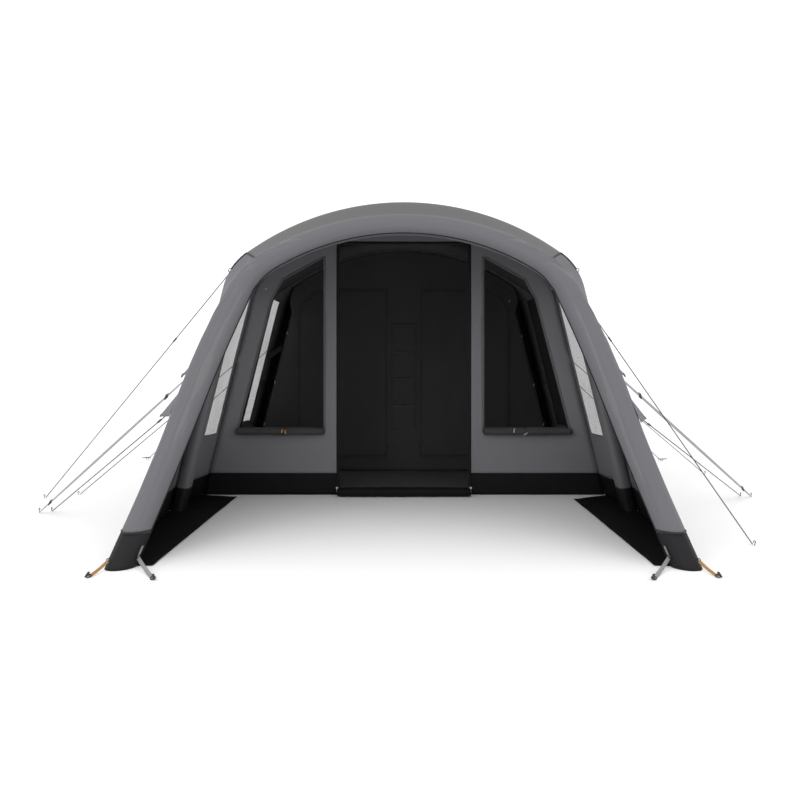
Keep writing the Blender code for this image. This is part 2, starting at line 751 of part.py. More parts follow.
def door_roll():
    """The front door lies rolled up on the ground, with a tail of cloth back to the doorway."""
    low = DOOR_ROLL_RADIUS
    middle = FRONT_WALL_Y - DOOR_ROLL_TAIL
    turns = [-math.pi / 2 - 2 * math.pi * k / ROLL_SIDES for k in range(ROLL_SIDES)]
    ring = [(middle + math.cos(a) * low, low + math.sin(a) * low) for a in turns]
    tail_end = FRONT_WALL_Y + CLOTH
    lift = math.asin(1 - CLOTH / low)
    tail = [(middle + math.cos(lift) * low, CLOTH), (tail_end, CLOTH), (tail_end, 0)]
    kept = [point for point in ring if point[1] > CLOTH or point[0] < tail[0][0]]
    shape = cross_prism(kept + tail, -DOOR_ROLL_HALF, DOOR_ROLL_HALF)
    add_object("door_roll", shape, "bedroom_black")


def door_sliders():
    """The two zip sliders of the front door, parked at its foot."""
    for side, word in ((-1, "left"), (1, "right")):
        middle = side * (DOOR_HALF - SLIDER_IN + SLIDER_WIDTH / 2)
        back = FRONT_WALL_Y - GAP
        top = SLIDER_REST + SLIDER_PULL + SLIDER_BODY
        neck = SLIDER_REST + SLIDER_PULL
        half = SLIDER_WIDTH / 2
        pull = SLIDER_PULL_WIDTH / 2
        outline = [
            (-half, top),
            (-half, neck + SLIDER_NECK),
            (-pull, neck),
            (-pull, SLIDER_REST),
            (pull, SLIDER_REST),
            (pull, neck),
            (half, neck + SLIDER_NECK),
            (half, top),
        ]
        depth = Vector((0, SLIDER_DEPTH, 0))
        start = back - SLIDER_DEPTH
        shape = prism(outline, [], depth, lambda x, z: (middle + x, start, z))
        add_object("door_slider_" + word, shape, "zip_metal", pivot=(middle, start, SLIDER_REST))


def wing_foot(y):
    """How far out the canopy's wing meets the ground at a station."""
    share = y / SKIN_START
    front = CANOPY_HALF_WIDTH + BEAM_RADIUS * math.cos(CANOPY_LEAN)
    return front + (HALF_WIDTH - CLOTH - front) * share - CANOPY_SAG * math.sin(math.pi * share) ** 2


def porch_flaps():
    """Cloth on the ground inside the porch, from the canopy's foot to the front wall."""
    beam_inside = BEAM_LINE.half_width - BEAM_RADIUS / math.cos(LEG_LEAN) - FLAP_CLEARANCE
    front = PORCH_BEAM_Y - BEAM_RADIUS - FLAP_CLEARANCE
    behind = PORCH_BEAM_Y + BEAM_RADIUS + FLAP_CLEARANCE
    beside = [share * SKIN_START for share in WING_SHARES[1:-1]]
    edge = TUNNEL.width_at(0, SAG + CLOTH + WALL_GAP)
    end = FRONT_WALL_Y - GAP
    outline = [
        (FLAP_INNER, FLAP_START),
        *[(wing_foot(y) - FLAP_CLEARANCE, y) for y in (FLAP_START, *beside, front)],
        (beam_inside, front),
        (beam_inside, behind),
        (edge, behind),
        (edge, end),
    ]
    for side, word, rear_gap in ((-1, "left", LEFT_FLAP_GAP), (1, "right", RIGHT_FLAP_GAP)):
        corners = [*outline, (FLAP_INNER, end - rear_gap)]
        flap = ground_panel([(side * x, y) for x, y in corners])
        add_object("porch_flap_" + word, flap, "mud_black")


def groundsheet():
    edge = BEAM_LINE.half_width - BEAM_RADIUS / math.cos(LEG_LEAN) - GAP
    edge -= CLOTH * math.tan(LEG_LEAN)
    low = FRONT_WALL_Y + CLOTH + GAP
    high = BEDROOM_FRONT_Y - GAP
    outline = [(-edge, low), (edge, low), (edge, high), (-edge, high)]
    add_object("groundsheet", ground_panel(outline), "ground_grey")


def bedroom_door(gap):
    """The right door's outline, with its upper outer corner rounded, a gap inside its opening."""
    low = BEDROOM_DOOR_BOTTOM + gap
    high = CROWN - BEDROOM_DOOR_DROP
    near = BEDROOM_DOOR_INNER + gap
    centre = (BEDROOM_DOOR_OUTER - BEDROOM_DOOR_CORNER, high - BEDROOM_DOOR_CORNER)
    radius = BEDROOM_DOOR_CORNER - gap
    outline = [(near, low), (BEDROOM_DOOR_OUTER - gap, low)]
    for k in range(CORNER_STEPS + 1):
        turn = math.pi / 2 * k / CORNER_STEPS
        outline.append((centre[0] + math.cos(turn) * radius, centre[1] + math.sin(turn) * radius))
    return [*outline, (near, high - gap)]


def bedroom_front_outline():
    """Beside the legs the front keeps the bedroom's inset, and under the roof it reaches the flysheet."""
    head = skin_sag(BEDROOM_FRONT_Y + CLOTH) + CLOTH + WALL_GAP
    outline = []
    for row in ARCH_ROWS:
        risen = min(1, max(0, min(row, 6 - row) - 1))
        outline.append(tuple(TUNNEL.point(row, BEDROOM_INSET + (head - BEDROOM_INSET) * risen)))
    return outline


def bedroom():
    """The hung inner tent: a skin with a floor and a rear wall, and a front with two doors."""
    inner = BEDROOM_INSET + CLOTH
    outline = [tuple(TUNNEL.point(row, BEDROOM_INSET)) for row in ARCH_ROWS]
    hollow = [tuple(TUNNEL.point(row, inner)) for row in ARCH_ROWS]
    hollow[0] = (TUNNEL.width_at(CLOTH, inner), CLOTH)
    hollow[-1] = (-hollow[0][0], CLOTH)
    shape = bmesh.new()
    start = BEDROOM_FRONT_Y + CLOTH + GAP
    loops = []
    for points, y in ((outline, BEDROOM_REAR_Y), (outline, start), (hollow, start)):
        loops.append([shape.verts.new((x, y, z)) for x, z in points])
    inside_end = BEDROOM_REAR_Y - CLOTH
    loops.append([shape.verts.new((x, inside_end, z)) for x, z in hollow])
    for near, far in zip(loops, loops[1:]):
        for k in range(len(near)):
            after = (k + 1) % len(near)
            shape.faces.new([near[k], near[after], far[after], far[k]])
    shape.faces.new(loops[0])
    shape.faces.new(loops[-1])
    add_object("bedroom_body", shape, "bedroom_black")
    doors = [bedroom_door(0), [(-x, z) for x, z in bedroom_door(0)]]
    front = standing_panel(bedroom_front_outline(), doors, BEDROOM_FRONT_Y)
    add_object("bedroom_front", front, "bedroom_black")
    for side, word in ((-1, "left"), (1, "right")):
        leaf = [(side * x, z) for x, z in bedroom_door(DOOR_GAP)]
        shape = standing_panel(leaf, [], BEDROOM_FRONT_Y)
        hinge = (side * BEDROOM_DOOR_INNER, BEDROOM_FRONT_Y, BEDROOM_DOOR_BOTTOM)
        add_object("bedroom_door_" + word, shape, "bedroom_black", pivot=hinge)


def organiser():
    """Pockets one above the other on the bedroom's front, each swelling towards its open top."""
    back = BEDROOM_FRONT_Y - GAP
    outline = [(back, ORGANISER_BOTTOM + POCKETS * POCKET_HEIGHT), (back, ORGANISER_BOTTOM)]
    for k in range(POCKETS):
        low = ORGANISER_BOTTOM + k * POCKET_HEIGHT
        mouth = low + POCKET_HEIGHT - POCKET_LIP
        outline.append((back - ORGANISER_BACK, low))
        outline.append((back - ORGANISER_BACK - POCKET_SWELL, mouth))
        outline.append((back - ORGANISER_BACK, mouth))
    outline.append((back - ORGANISER_BACK, ORGANISER_BOTTOM + POCKETS * POCKET_HEIGHT))
    cloth = cross_prism(outline, -ORGANISER_HALF, ORGANISER_HALF)
    add_object("organiser", cloth, "bedroom_black")


def tie_point(side, height, station):
    """Where a line meets the flysheet or the canopy's band at a height, and the cloth's way out."""

    half_facet = BAND_HALF_TURN / BAND_STEPS
    turn = BAND_HALF_TURN - half_facet
    back = Vector((0, 1, 0))
    if station is None:
        back = CANOPY_PLANE.turned(CANOPY.out) * math.cos(turn) - CANOPY_PLANE.front * math.sin(turn)

    def place(row):
        if station is not None:
            return skin_point(row, station)
        radius = BAND_OVER * math.cos(half_facet)
        return section_point(CANOPY, CANOPY_PLANE, row, turn, radius)

    rows = [row for row in ARCH_ROWS if row <= 3]
    for low, high in zip(rows, rows[1:]):
        near, far = place(low), place(high)
        if near.z <= height < far.z:
            break
    point = near.lerp(far, (height - near.z) / (far.z - near.z))
    facing = back.cross(far - near).normalized()
    mirror = Vector((side, 1, 1))
    return point * mirror, facing * mirror


def line_ends(line, half_thick, end_height):
    """A line's ends, its start half a gap off the cloth, and the cloth's way out."""
    side, height, station, ground = line
    point, facing = tie_point(side, height, station)
    end = Vector((*ground, end_height))
    slant = (end - point).normalized().dot(facing)
    lift = GAP + half_thick * math.sqrt(1 - slant**2)
    return point + facing * lift, end, facing


def guy_rope(name, start, end):
    """A taut rope, as a curve with a point at each share of its length."""
    curve = bpy.data.curves.new(name, "CURVE")
    curve.dimensions = "3D"
    curve.bevel_depth = ROPE_RADIUS
    curve.bevel_resolution = 2
    curve.use_fill_caps = True
    line = curve.splines.new("POLY")
    line.points.add(ROPE_POINTS - 1)
    for k, point in enumerate(line.points):
        point.co = (*start.lerp(end, k / (ROPE_POINTS - 1)), 1)
    curve.materials.append(finish_material("rope_grey"))
    rope = bpy.data.objects.new(name, curve)
    bpy.context.scene.collection.objects.link(rope)
    made.append(rope)


def runner(name, start, end, share):
    """A rope runner: a flattened sleeve that slides along the rope."""
    axis = (end - start).normalized()
    middle = start.lerp(end, share)
    across = axis.cross(Vector((0, 0, 1))).normalized()
    over = across.cross(axis)
    shape = bmesh.new()
    rings = []
    half = RUNNER_LENGTH / 2
    bore = (RUNNER_BORE, RUNNER_BORE)
    flat = (RUNNER_WIDTH / 2, RUNNER_THICK / 2)
    for along, (wide, thick) in ((-half, flat), (half, flat), (half, bore), (-half, bore)):
        ring = []
        for k in range(RUNNER_SIDES):
            turn = 2 * math.pi * (k + 1 / 2) / RUNNER_SIDES
            side = across * (math.cos(turn) * wide) + over * (math.sin(turn) * thick)
            ring.append(shape.verts.new(middle + axis * along + side))
        rings.append(ring)
    for near, far in zip(rings, rings[1:] + rings[:1]):
        for k in range(RUNNER_SIDES):
            after = (k + 1) % RUNNER_SIDES
            shape.faces.new([near[k], near[after], far[after], far[k]])
    add_object(name, shape, "fitting_black", pivot=middle)


def guy_lines():
    for name, line in GUY_LINES.items():
        start, end, _ = line_ends(line, ROPE_RADIUS, ROPE_END_HEIGHT)
        guy_rope(name, start, end)
        if name in RUNNER_PLACES:
            runner(name.replace("guy", "runner"), start, end, RUNNER_PLACES[name])
    for name, line in STORM_STRAPS.items():
        start, end, facing = line_ends(line, STORM_STRAP_THICK / 2, STRAP_END_HEIGHT)
        strap = ribbon(start, end, facing, STORM_STRAP_WIDTH, STORM_STRAP_THICK)
        add_object(name, strap, "webbing_grey")


def centre_on_ground():
    """Moves the origin into the middle of the footprint, measured without the guy lines."""
    bpy.context.view_layer.update()
    apart = [*GUY_LINES, *STORM_STRAPS]
    stations = []
    for each in made:
        if each.name in apart or each.name.startswith("runner"):
            continue
        stations += [(each.matrix_world @ vert.co).y for vert in each.data.vertices]
    middle = (min(stations) + max(stations)) / 2
    for each in made:
        each.location.y -= middle
    print("The canopy's feet stand at Y", round(-middle, 5))


def main():
    clear_scene()
    air_beam("canopy", CANOPY, CANOPY_PLANE)
    air_beam("porch", BEAM_LINE, Slope(PORCH_BEAM_Y))
    air_beam("living", BEAM_LINE, Slope(LIVING_BEAM_Y))
    air_beam("bedroom", BEAM_LINE, Slope(BEDROOM_BEAM_Y))
    air_beam("rear", BEAM_LINE, Slope(REAR_BEAM_Y), valve_turn=0)
    flysheet()
    rear_wall()
    canopy()
    front_wall()
    door_roll()
    door_sliders()
    porch_flaps()
    groundsheet()
    bedroom()
    organiser()
    guy_lines()
    centre_on_ground()


main()
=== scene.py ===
# Inflatable tunnel tent round its fixed frame: cloth, clear windows, zips, lines, fittings and pegs.
# Stations count from the line of the canopy's feet, and at() brings them into the frame.

import math

import bmesh
import bpy
from mathutils import Matrix, Vector, noise


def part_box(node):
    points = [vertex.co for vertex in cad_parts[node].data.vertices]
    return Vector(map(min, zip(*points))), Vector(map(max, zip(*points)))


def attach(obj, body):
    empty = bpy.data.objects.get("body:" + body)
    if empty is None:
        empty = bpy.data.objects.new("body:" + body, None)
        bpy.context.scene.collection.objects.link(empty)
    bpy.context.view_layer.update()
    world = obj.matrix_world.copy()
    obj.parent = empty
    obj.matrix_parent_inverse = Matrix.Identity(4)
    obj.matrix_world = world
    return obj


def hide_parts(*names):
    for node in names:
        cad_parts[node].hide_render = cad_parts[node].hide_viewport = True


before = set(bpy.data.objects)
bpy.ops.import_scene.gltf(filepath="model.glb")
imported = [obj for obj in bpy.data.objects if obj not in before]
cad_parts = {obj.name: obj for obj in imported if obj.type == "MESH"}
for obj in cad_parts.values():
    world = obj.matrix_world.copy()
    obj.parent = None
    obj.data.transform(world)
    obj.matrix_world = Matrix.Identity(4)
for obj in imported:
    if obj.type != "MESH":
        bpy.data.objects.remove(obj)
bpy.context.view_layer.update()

tunnelSize = dict(halfWidth=1.65, lean=math.radians(14), crown=2.16, roofRadius=1.88, shoulderRadius=0.42)
canopySize = dict(rake=math.radians(33.6), draw=0.203, drop=0.1935, lean=math.radians(13.3),
                  roofRadius=1.36, shoulderRadius=0.4, sag=0.03, bow=0.046, beamBow=0.4)
beamSize = dict(radius=0.07, porch=1.58, living=2.94, bedroom=4.54, rear=5.85, valve=0.42)
skinSize = dict(sag=0.065, thick=0.0012, cadThick=0.004, gap=0.0003, wallGap=0.0008,
                mudHeight=0.165, mudStep=0.028, sill=0.49, windowTopRow=1.25, step=0.03, offGround=0.0006)
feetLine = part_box("roof")[0].y - (beamSize["porch"] - beamSize["radius"])

sides = ((-1, "left"), (1, "right"))
beamWords = ("porch", "living", "bedroom", "rear")
archBreaks = (1, 2, 3, 4, 5)
forward, backward = Vector((0, -1, 0)), Vector((0, 1, 0))


def at(station):
    return feetLine + station


def nearFoot(row):
    # a row's distance from the foot on its own side
    return min(row, 6 - row)


def mirrorRow(row, side):
    return row if side > 0 else 6 - row


def clamped(value):
    return max(0, min(1, value))


def standing(flat, y=0):
    # a point of an arch's flat drawing, stood up across the tent
    return Vector((flat.x, y, flat.y))


def raised(height):
    return Vector((0, 0, height))


def levelled(direction):
    return Vector((direction.x, direction.y, 0)).normalized()


class Arch:
    # half an arch: a straight leg, a shoulder arc and a roof arc; rows run from 0 at the right foot
    # over 1, 2 and the crown at 3 to 6 at the left foot
    def __init__(self, halfWidth, lean, crown, roofRadius, shoulderRadius):
        self.halfWidth, self.lean = halfWidth, lean
        self.roofRadius, self.shoulderRadius = roofRadius, shoulderRadius
        self.roofCentre = crown - roofRadius
        self.out = Vector((math.cos(lean), math.sin(lean)))
        self.up = Vector((-math.sin(lean), math.cos(lean)))
        away = halfWidth * math.cos(lean) - shoulderRadius
        across = away - self.roofCentre * math.sin(lean)
        along = math.sqrt((roofRadius - shoulderRadius) ** 2 - across**2) + self.roofCentre * math.cos(lean)
        self.shoulderCentre = self.out * away + self.up * along
        self.legLength = along + halfWidth * math.sin(lean)
        self.legAngle = math.pi / 2 - lean
        turned = self.shoulderCentre - Vector((0, self.roofCentre))
        self.roofAngle = math.atan2(turned.x, turned.y)
        self.parts = (self.legLength, shoulderRadius * (self.legAngle - self.roofAngle),
                      roofRadius * self.roofAngle)

    def outAt(self, row):
        if row > 3:
            mirrored = self.outAt(6 - row)
            return Vector((-mirrored.x, mirrored.y))
        if row < 1:
            return self.out - self.up * (math.tan(self.lean) * (1 - row))
        if row < 2:
            angle = self.legAngle + (self.roofAngle - self.legAngle) * (row - 1)
        else:
            angle = self.roofAngle * (3 - row)
        return Vector((math.sin(angle), math.cos(angle)))

    def point(self, row, depth=0):
        if row > 3:
            mirrored = self.point(6 - row, depth)
            return Vector((-mirrored.x, mirrored.y))
        if row < 1:
            start = Vector((self.halfWidth, 0)) + self.up * (row * self.legLength)
        elif row < 2:
            start = self.shoulderCentre + self.outAt(row) * self.shoulderRadius
        else:
            start = Vector((0, self.roofCentre)) + self.outAt(row) * self.roofRadius
        return start - self.outAt(row) * depth

    def rowAt(self, height):
        return height / (self.legLength * math.cos(self.lean))

    def widthAt(self, height, depth):
        foot = self.halfWidth - depth / math.cos(self.lean)
        rise = height - self.shoulderCentre.y
        radius = self.shoulderRadius - depth
        if rise < radius * math.cos(self.legAngle):
            return foot - height * math.tan(self.lean)
        if rise < radius * math.cos(self.roofAngle):
            return self.shoulderCentre.x + math.sqrt(radius**2 - rise**2)
        return math.sqrt(max(0, (self.roofRadius - depth) ** 2 - (height - self.roofCentre) ** 2))

    def lengthTo(self, row):
        # the arc's length from the right foot to a row
        total = 0
        for k, part in enumerate((*self.parts, *reversed(self.parts))):
            total += part * clamped(row - k)
        return total

    def rowOf(self, length):
        for k, part in enumerate((*self.parts, *reversed(self.parts))):
            if length <= part or k == 5:
                return k + min(1, length / part)
            length -= part


class Slope:
    # the plane of an arch, which stands at a station and may lean back
    def __init__(self, station, rake=0):
        self.y = at(station)
        self.up = Vector((0, math.sin(rake), math.cos(rake)))
        self.front = Vector((0, -math.cos(rake), math.sin(rake)))

    def turned(self, flat):
        return Vector((flat.x, 0, 0)) + self.up * flat.y

    def placed(self, flat):
        return Vector((0, self.y, 0)) + self.turned(flat)


def smaller(arch, depth):
    # the same arch drawn depth inside
    halfWidth = arch.halfWidth - depth / math.cos(arch.lean)
    crown = arch.roofCentre + arch.roofRadius - depth
    return Arch(halfWidth, arch.lean, crown, arch.roofRadius - depth, arch.shoulderRadius - depth)


tunnel = Arch(**tunnelSize)
canopyArch = Arch(tunnelSize["halfWidth"] - canopySize["draw"], canopySize["lean"],
                  (tunnelSize["crown"] - canopySize["drop"]) / math.cos(canopySize["rake"]),
                  canopySize["roofRadius"], canopySize["shoulderRadius"])
canopyPlane = Slope(0, canopySize["rake"])
beamLine = smaller(tunnel, skinSize["cadThick"] + skinSize["wallGap"] + beamSize["radius"])
bandOver = beamSize["radius"] + skinSize["gap"] + skinSize["cadThick"]
mudRow = tunnel.rowAt(skinSize["mudHeight"])
sillRow = tunnel.rowAt(skinSize["sill"])


def skinSag(station):
    ends = [beamSize[word] for word in beamWords]
    for front, rear in zip(ends, ends[1:]):
        if front < station < rear:
            return skinSize["sag"] * math.sin(math.pi * (station - front) / (rear - front)) ** 2
    return 0


def skinPoint(row, station, depth=0):
    return standing(tunnel.point(row, skinSag(station) + depth), at(station))


def sectionPoint(arch, plane, row, angle, radius, level=0):
    # round the line of an arch: angle 0 faces the front, 90 degrees faces out; level 1 cuts it flat
    if row > 3:
        mirrored = sectionPoint(arch, plane, 6 - row, angle, radius, level)
        return Vector((-mirrored.x, mirrored.y, mirrored.z))
    centre = plane.placed(arch.point(row))
    out = arch.out if row < 1 else arch.outAt(row)
    point = centre + (plane.turned(out) * math.sin(angle) + plane.front * math.cos(angle)) * radius
    up = plane.turned(arch.up)
    return point + up * ((centre.z - point.z) / up.z * level)


def levelNear(row, foot):
    # how level a ring is at a row, from 1 at the foot to 0 where the leg's own rings start
    return max(0, 1 - (nearFoot(row) - foot) / 0.3)


def legBow(row):
    # the lines pull the canopy's legs outwards above mid-height
    near = nearFoot(row)
    return canopySize["bow"] * math.exp(-(((near - 0.74) / 0.33) ** 2)) * (1 if row < 3 else -1)


def pressedBy(word, row, inner):
    # how far the cloth presses a beam's inner side flat, most on the legs
    leg = clamped((1.9 - nearFoot(row)) / 0.6)
    top, side = {"porch": (0.022, 0.024), "living": (0, 0.034)}.get(word, (0, 0))
    return (top + side * leg) * inner**1.5


def ruffle(place, size, seed=0):
    # smooth noise between -1 and 1
    return noise.noise(Vector(place) / size + Vector((seed * 7.3, seed * 3.1, seed * 5.7)))


def spaced(low, high, step):
    count = max(1, round(abs(high - low) / step))
    return [low + (high - low) * k / count for k in range(count + 1)]


def through(breaks, step):
    values = [breaks[0]]
    for low, high in zip(breaks, breaks[1:]):
        values += spaced(low, high, step)[1:]
    return values


def crownward(low, turn, top, step, count):
    # heights a step apart up to turn, then denser and denser up to the top
    dense = [turn + (top - turn) * (1 - (1 - k / count) ** 2) for k in range(1, count + 1)]
    return spaced(low, turn, step) + dense


def archRows(arch, low, high, step, breaks=()):
    # rows between two rows, a step apart along the arch, and exactly on each break
    stops = [arch.lengthTo(row) for row in sorted([low, high, *breaks])]
    return [arch.rowOf(length) for length in through(stops, step)]


class Wire:
    # a socket, or what sums on sockets give
    def __init__(self, finish, socket):
        self.finish, self.socket = finish, socket

    def sum(self, operation, *values):
        return self.finish.node("ShaderNodeMath", dict(operation=operation), values)

    def __add__(self, other):
        return self.sum("ADD", self, other)

    def __radd__(self, other):
        return self.sum("ADD", other, self)

    def __sub__(self, other):
        return self.sum("SUBTRACT", self, other)

    def __rsub__(self, other):
        return self.sum("SUBTRACT", other, self)

    def __mul__(self, other):
        return self.sum("MULTIPLY", self, other)

    def __rmul__(self, other):
        return self.sum("MULTIPLY", other, self)

    def __truediv__(self, other):
        return self.sum("DIVIDE", self, other)

    def __lt__(self, other):
        return self.sum("LESS_THAN", self, other)

    def wave(self):
        return self.sum("SINE", self)

    def size(self):
        return self.sum("ABSOLUTE", self)

    def part(self):
        return self.sum("FRACT", self)

    def most(self, other):
        return self.sum("MAXIMUM", self, other)


class Finish:
    def __init__(self, name, slot, colour, roughness, metallic=0, **fixed):
        self.slot = slot
        self.material = bpy.data.materials.new(name)
        self.material.use_nodes = True
        self.tree = self.material.node_tree
        self.shader = self.tree.nodes["Principled BSDF"]
        self.set("Base Color", (*colour, 1))
        self.set("Roughness", roughness)
        self.set("Metallic", metallic)
        for socket, value in fixed.items():
            self.set(socket.replace("_", " "), value)

    def set(self, socket, value):
        self.feed(self.shader.inputs[socket], value)

    def feed(self, socket, value):
        if isinstance(value, Wire):
            self.tree.links.new(value.socket, socket)
        else:
            socket.default_value = value

    def node(self, kind, settings=None, values=(), out=0):
        # settings come first; values are a list for the first sockets, or a dictionary by name
        made = self.tree.nodes.new(kind)
        for key, value in (settings or {}).items():
            setattr(made, key, value)
        pairs = values.items() if isinstance(values, dict) else enumerate(values)
        for key, value in pairs:
            self.feed(made.inputs[key], value)
        return Wire(self, made.outputs[out])

    def objectPlace(self):
        return self.node("ShaderNodeTexCoord", out="Object")

    def clothPlace(self):
        return self.node("ShaderNodeUVMap", dict(uv_map="cloth"))

    def split(self, vector):
        parts = self.node("ShaderNodeSeparateXYZ", values=[vector])
        return [Wire(self, socket) for socket in parts.socket.node.outputs]

    def noise(self, scale, detail=3, distortion=0):
        values = {"Vector": self.objectPlace(), "Scale": scale, "Detail": detail, "Distortion": distortion}
        return self.node("ShaderNodeTexNoise", values=values)

    def mix(self, share, first, second):
        node = self.node("ShaderNodeMix", dict(data_type="RGBA")).socket.node
        for socket, value in ((node.inputs[0], share), (node.inputs[6], first), (node.inputs[7], second)):
            self.feed(socket, value)
        return Wire(self, node.outputs[2])

    def bump(self, height, strength=1):
        return self.node("ShaderNodeBump", values={"Height": height, "Strength": strength, "Distance": 1.0})


def shaded(colour, share):
    return tuple(min(1, c * share) for c in colour) + (1,)


def clothFinish(name, slot, colour, roughness=0.72, thread=0.0012, ripstop=0.0075, crumple=0.0035,
                contrast=0.16, sheen=0.06, gloss=0.3):
    # woven coated cloth: threads and reinforcing threads follow the piece's own map, folds follow the object
    made = Finish(name, slot, colour, roughness, Sheen_Weight=sheen, Sheen_Roughness=0.5,
                  Specular_IOR_Level=gloss)
    u, v, _ = made.split(made.clothPlace())
    threads = (u * (math.tau / thread)).wave() * (v * (math.tau / thread)).wave()
    lines = ((u / ripstop).part() < 0.09).most((v / ripstop).part() < 0.09)
    broad = made.noise(1.7, 3, 0.4)
    fine = made.noise(46, 2)
    shade = (broad - 0.5) * contrast * 2 + (fine - 0.5) * contrast * 0.5 + 0.5 + lines * 0.035
    made.set("Base Color", made.mix(shade, shaded(colour, 1 - contrast), shaded(colour, 1 + contrast)))
    made.set("Roughness", broad * 0.14 + (roughness - 0.07))
    creases = made.noise(7, 4, 1.1) * crumple + made.noise(24, 3, 0.5) * (crumple * 0.18)
    made.set("Normal", made.bump(creases + threads * 0.00005 + lines * 0.00006, 0.85))
    return made


def plainFinish(name, slot, colour, roughness, metallic=0, grain=0.0003, scale=160, **fixed):
    # moulded plastic or metal with a fine grain and slightly worn, uneven gloss
    made = Finish(name, slot, colour, roughness, metallic, **fixed)
    worn = made.noise(28, 4, 0.3)
    made.set("Base Color", made.mix(worn, shaded(colour, 0.85), shaded(colour, 1.2)))
    made.set("Roughness", worn * 0.2 + (roughness - 0.1))
    made.set("Normal", made.bump(made.noise(scale, 2) * grain, 0.6))
    return made


def webbingFinish(name, slot, colour):
    # woven tape with slanted ribs
    rib = 0.0022
    made = Finish(name, slot, colour, 0.7, Sheen_Weight=0.15)
    u, v, _ = made.split(made.clothPlace())
    ribs = ((v + u.size() * 0.5) * (math.tau / rib)).wave()
    worn = made.noise(60, 2) * 0.5 + ribs * 0.1
    made.set("Base Color", made.mix(worn, shaded(colour, 1), shaded(colour, 0.72)))
    made.set("Normal", made.bump(ribs * 0.00012, 0.9))
    return made


def seamFinish(name, slot, colour, thread, width):
    # a felled seam with a row of stitches along both edges
    made = Finish(name, slot, colour, 0.75, Sheen_Weight=0.1)
    u, v, _ = made.split(made.clothPlace())
    rows = (u.size() - (width / 2 - 0.0022)).size() < 0.0006
    stitches = rows * ((v / 0.0042).part() < 0.68)
    pucker = (v * (math.tau / 0.0125)).wave() * made.noise(30, 2)
    made.set("Base Color", made.mix(stitches, shaded(colour, 0.94), shaded(thread, 1)))
    made.set("Normal", made.bump(stitches * 0.0003 + pucker * 0.0004, 0.9))
    return made


def filmFinish(name, slot, colour, alpha):
    # clear flexible sheet: it shows what is behind it through a faint haze and soft ripples
    made = Finish(name, slot, colour, 0.1, Specular_IOR_Level=0.5, IOR=1.45)
    haze = made.noise(3.2, 3, 0.5)
    made.set("Alpha", haze * 0.12 + (alpha - 0.06))
    made.set("Roughness", haze * 0.12 + 0.06)
    made.set("Normal", made.bump(made.noise(5, 2, 0.8) * 0.003, 0.5))
    return made


def makeFinishes():
    grey = (0.075, 0.075, 0.078)
    dark = dict(sheen=0, gloss=0.08, contrast=0.3)
    return dict(
        canopy=clothFinish("canopy_cloth", "canopy", (0.125, 0.123, 0.136), contrast=0.1),
        roof=clothFinish("roof_cloth", "roof", (0.127, 0.127, 0.128), contrast=0.1),
        wall=clothFinish("wall_cloth", "wall", (0.168, 0.165, 0.178)),
        beam=clothFinish("beam_sleeve", "beam", (0.14, 0.139, 0.147), 0.6, crumple=0.002),
        mud=clothFinish("mud_wall_cloth", "mud", (0.0085, 0.0084, 0.0095), 0.6, **dark),
        foot=clothFinish("band_foot_cloth", "mud", (0.011, 0.0105, 0.012), 0.6, sheen=0, gloss=0.2,
                         contrast=0.3),
        cover=clothFinish("rolled_cover_cloth", "wall", (0.042, 0.041, 0.044), contrast=0.35),
        bedroom=clothFinish("bedroom_cloth", "bedroom", (0.058, 0.0574, 0.06), 0.8, crumple=0.004, **dark),
        ground=clothFinish("groundsheet_weave", "groundsheet", (0.11, 0.11, 0.112), 0.6, thread=0.0035,
                           ripstop=0.03, sheen=0, gloss=0.15, contrast=0.25),
        film=filmFinish("window_film", "clear", (0.19, 0.19, 0.2), 0.42),
        rope=plainFinish("guy_rope", "rope", grey, 0.75, grain=0.0006, scale=420),
        webbing=webbingFinish("grey_webbing", "webbing", (0.3, 0.3, 0.31)),
        silver=webbingFinish("silver_webbing", "webbing", (0.24, 0.245, 0.25)),
        ladder=webbingFinish("ladder_webbing", "webbing", (0.36, 0.19, 0.05)),
        fitting=plainFinish("moulded_fitting", "fitting", (0.018, 0.018, 0.019), 0.4, grain=0.0001),
        zip=plainFinish("zip_metal", "zip", (0.62, 0.62, 0.63), 0.3, 1, grain=0.0001),
        peg=plainFinish("peg_steel", "zip", (0.06, 0.06, 0.062), 0.4, 0.6, grain=0.0002),
        toggle=plainFinish("toggle_plastic", "fitting", (0.4, 0.4, 0.41), 0.35, grain=0.0001),
        amber=plainFinish("amber_toggle", "fitting", (0.5, 0.25, 0.08), 0.4, grain=0.0001),
        piping=plainFinish("black_piping", "mud", (0.008, 0.008, 0.009), 0.6, grain=0.0002,
                           Specular_IOR_Level=0.2),
        seam=seamFinish("flysheet_seam", "canopy", (0.1, 0.098, 0.108), (0.14, 0.14, 0.15), 0.016),
        darkSeam=seamFinish("dark_seam", "mud", (0.01, 0.01, 0.011), (0.03, 0.03, 0.032), 0.016),
        hem=plainFinish("pocket_binding", "webbing", (0.07, 0.07, 0.075), 0.7),
    )


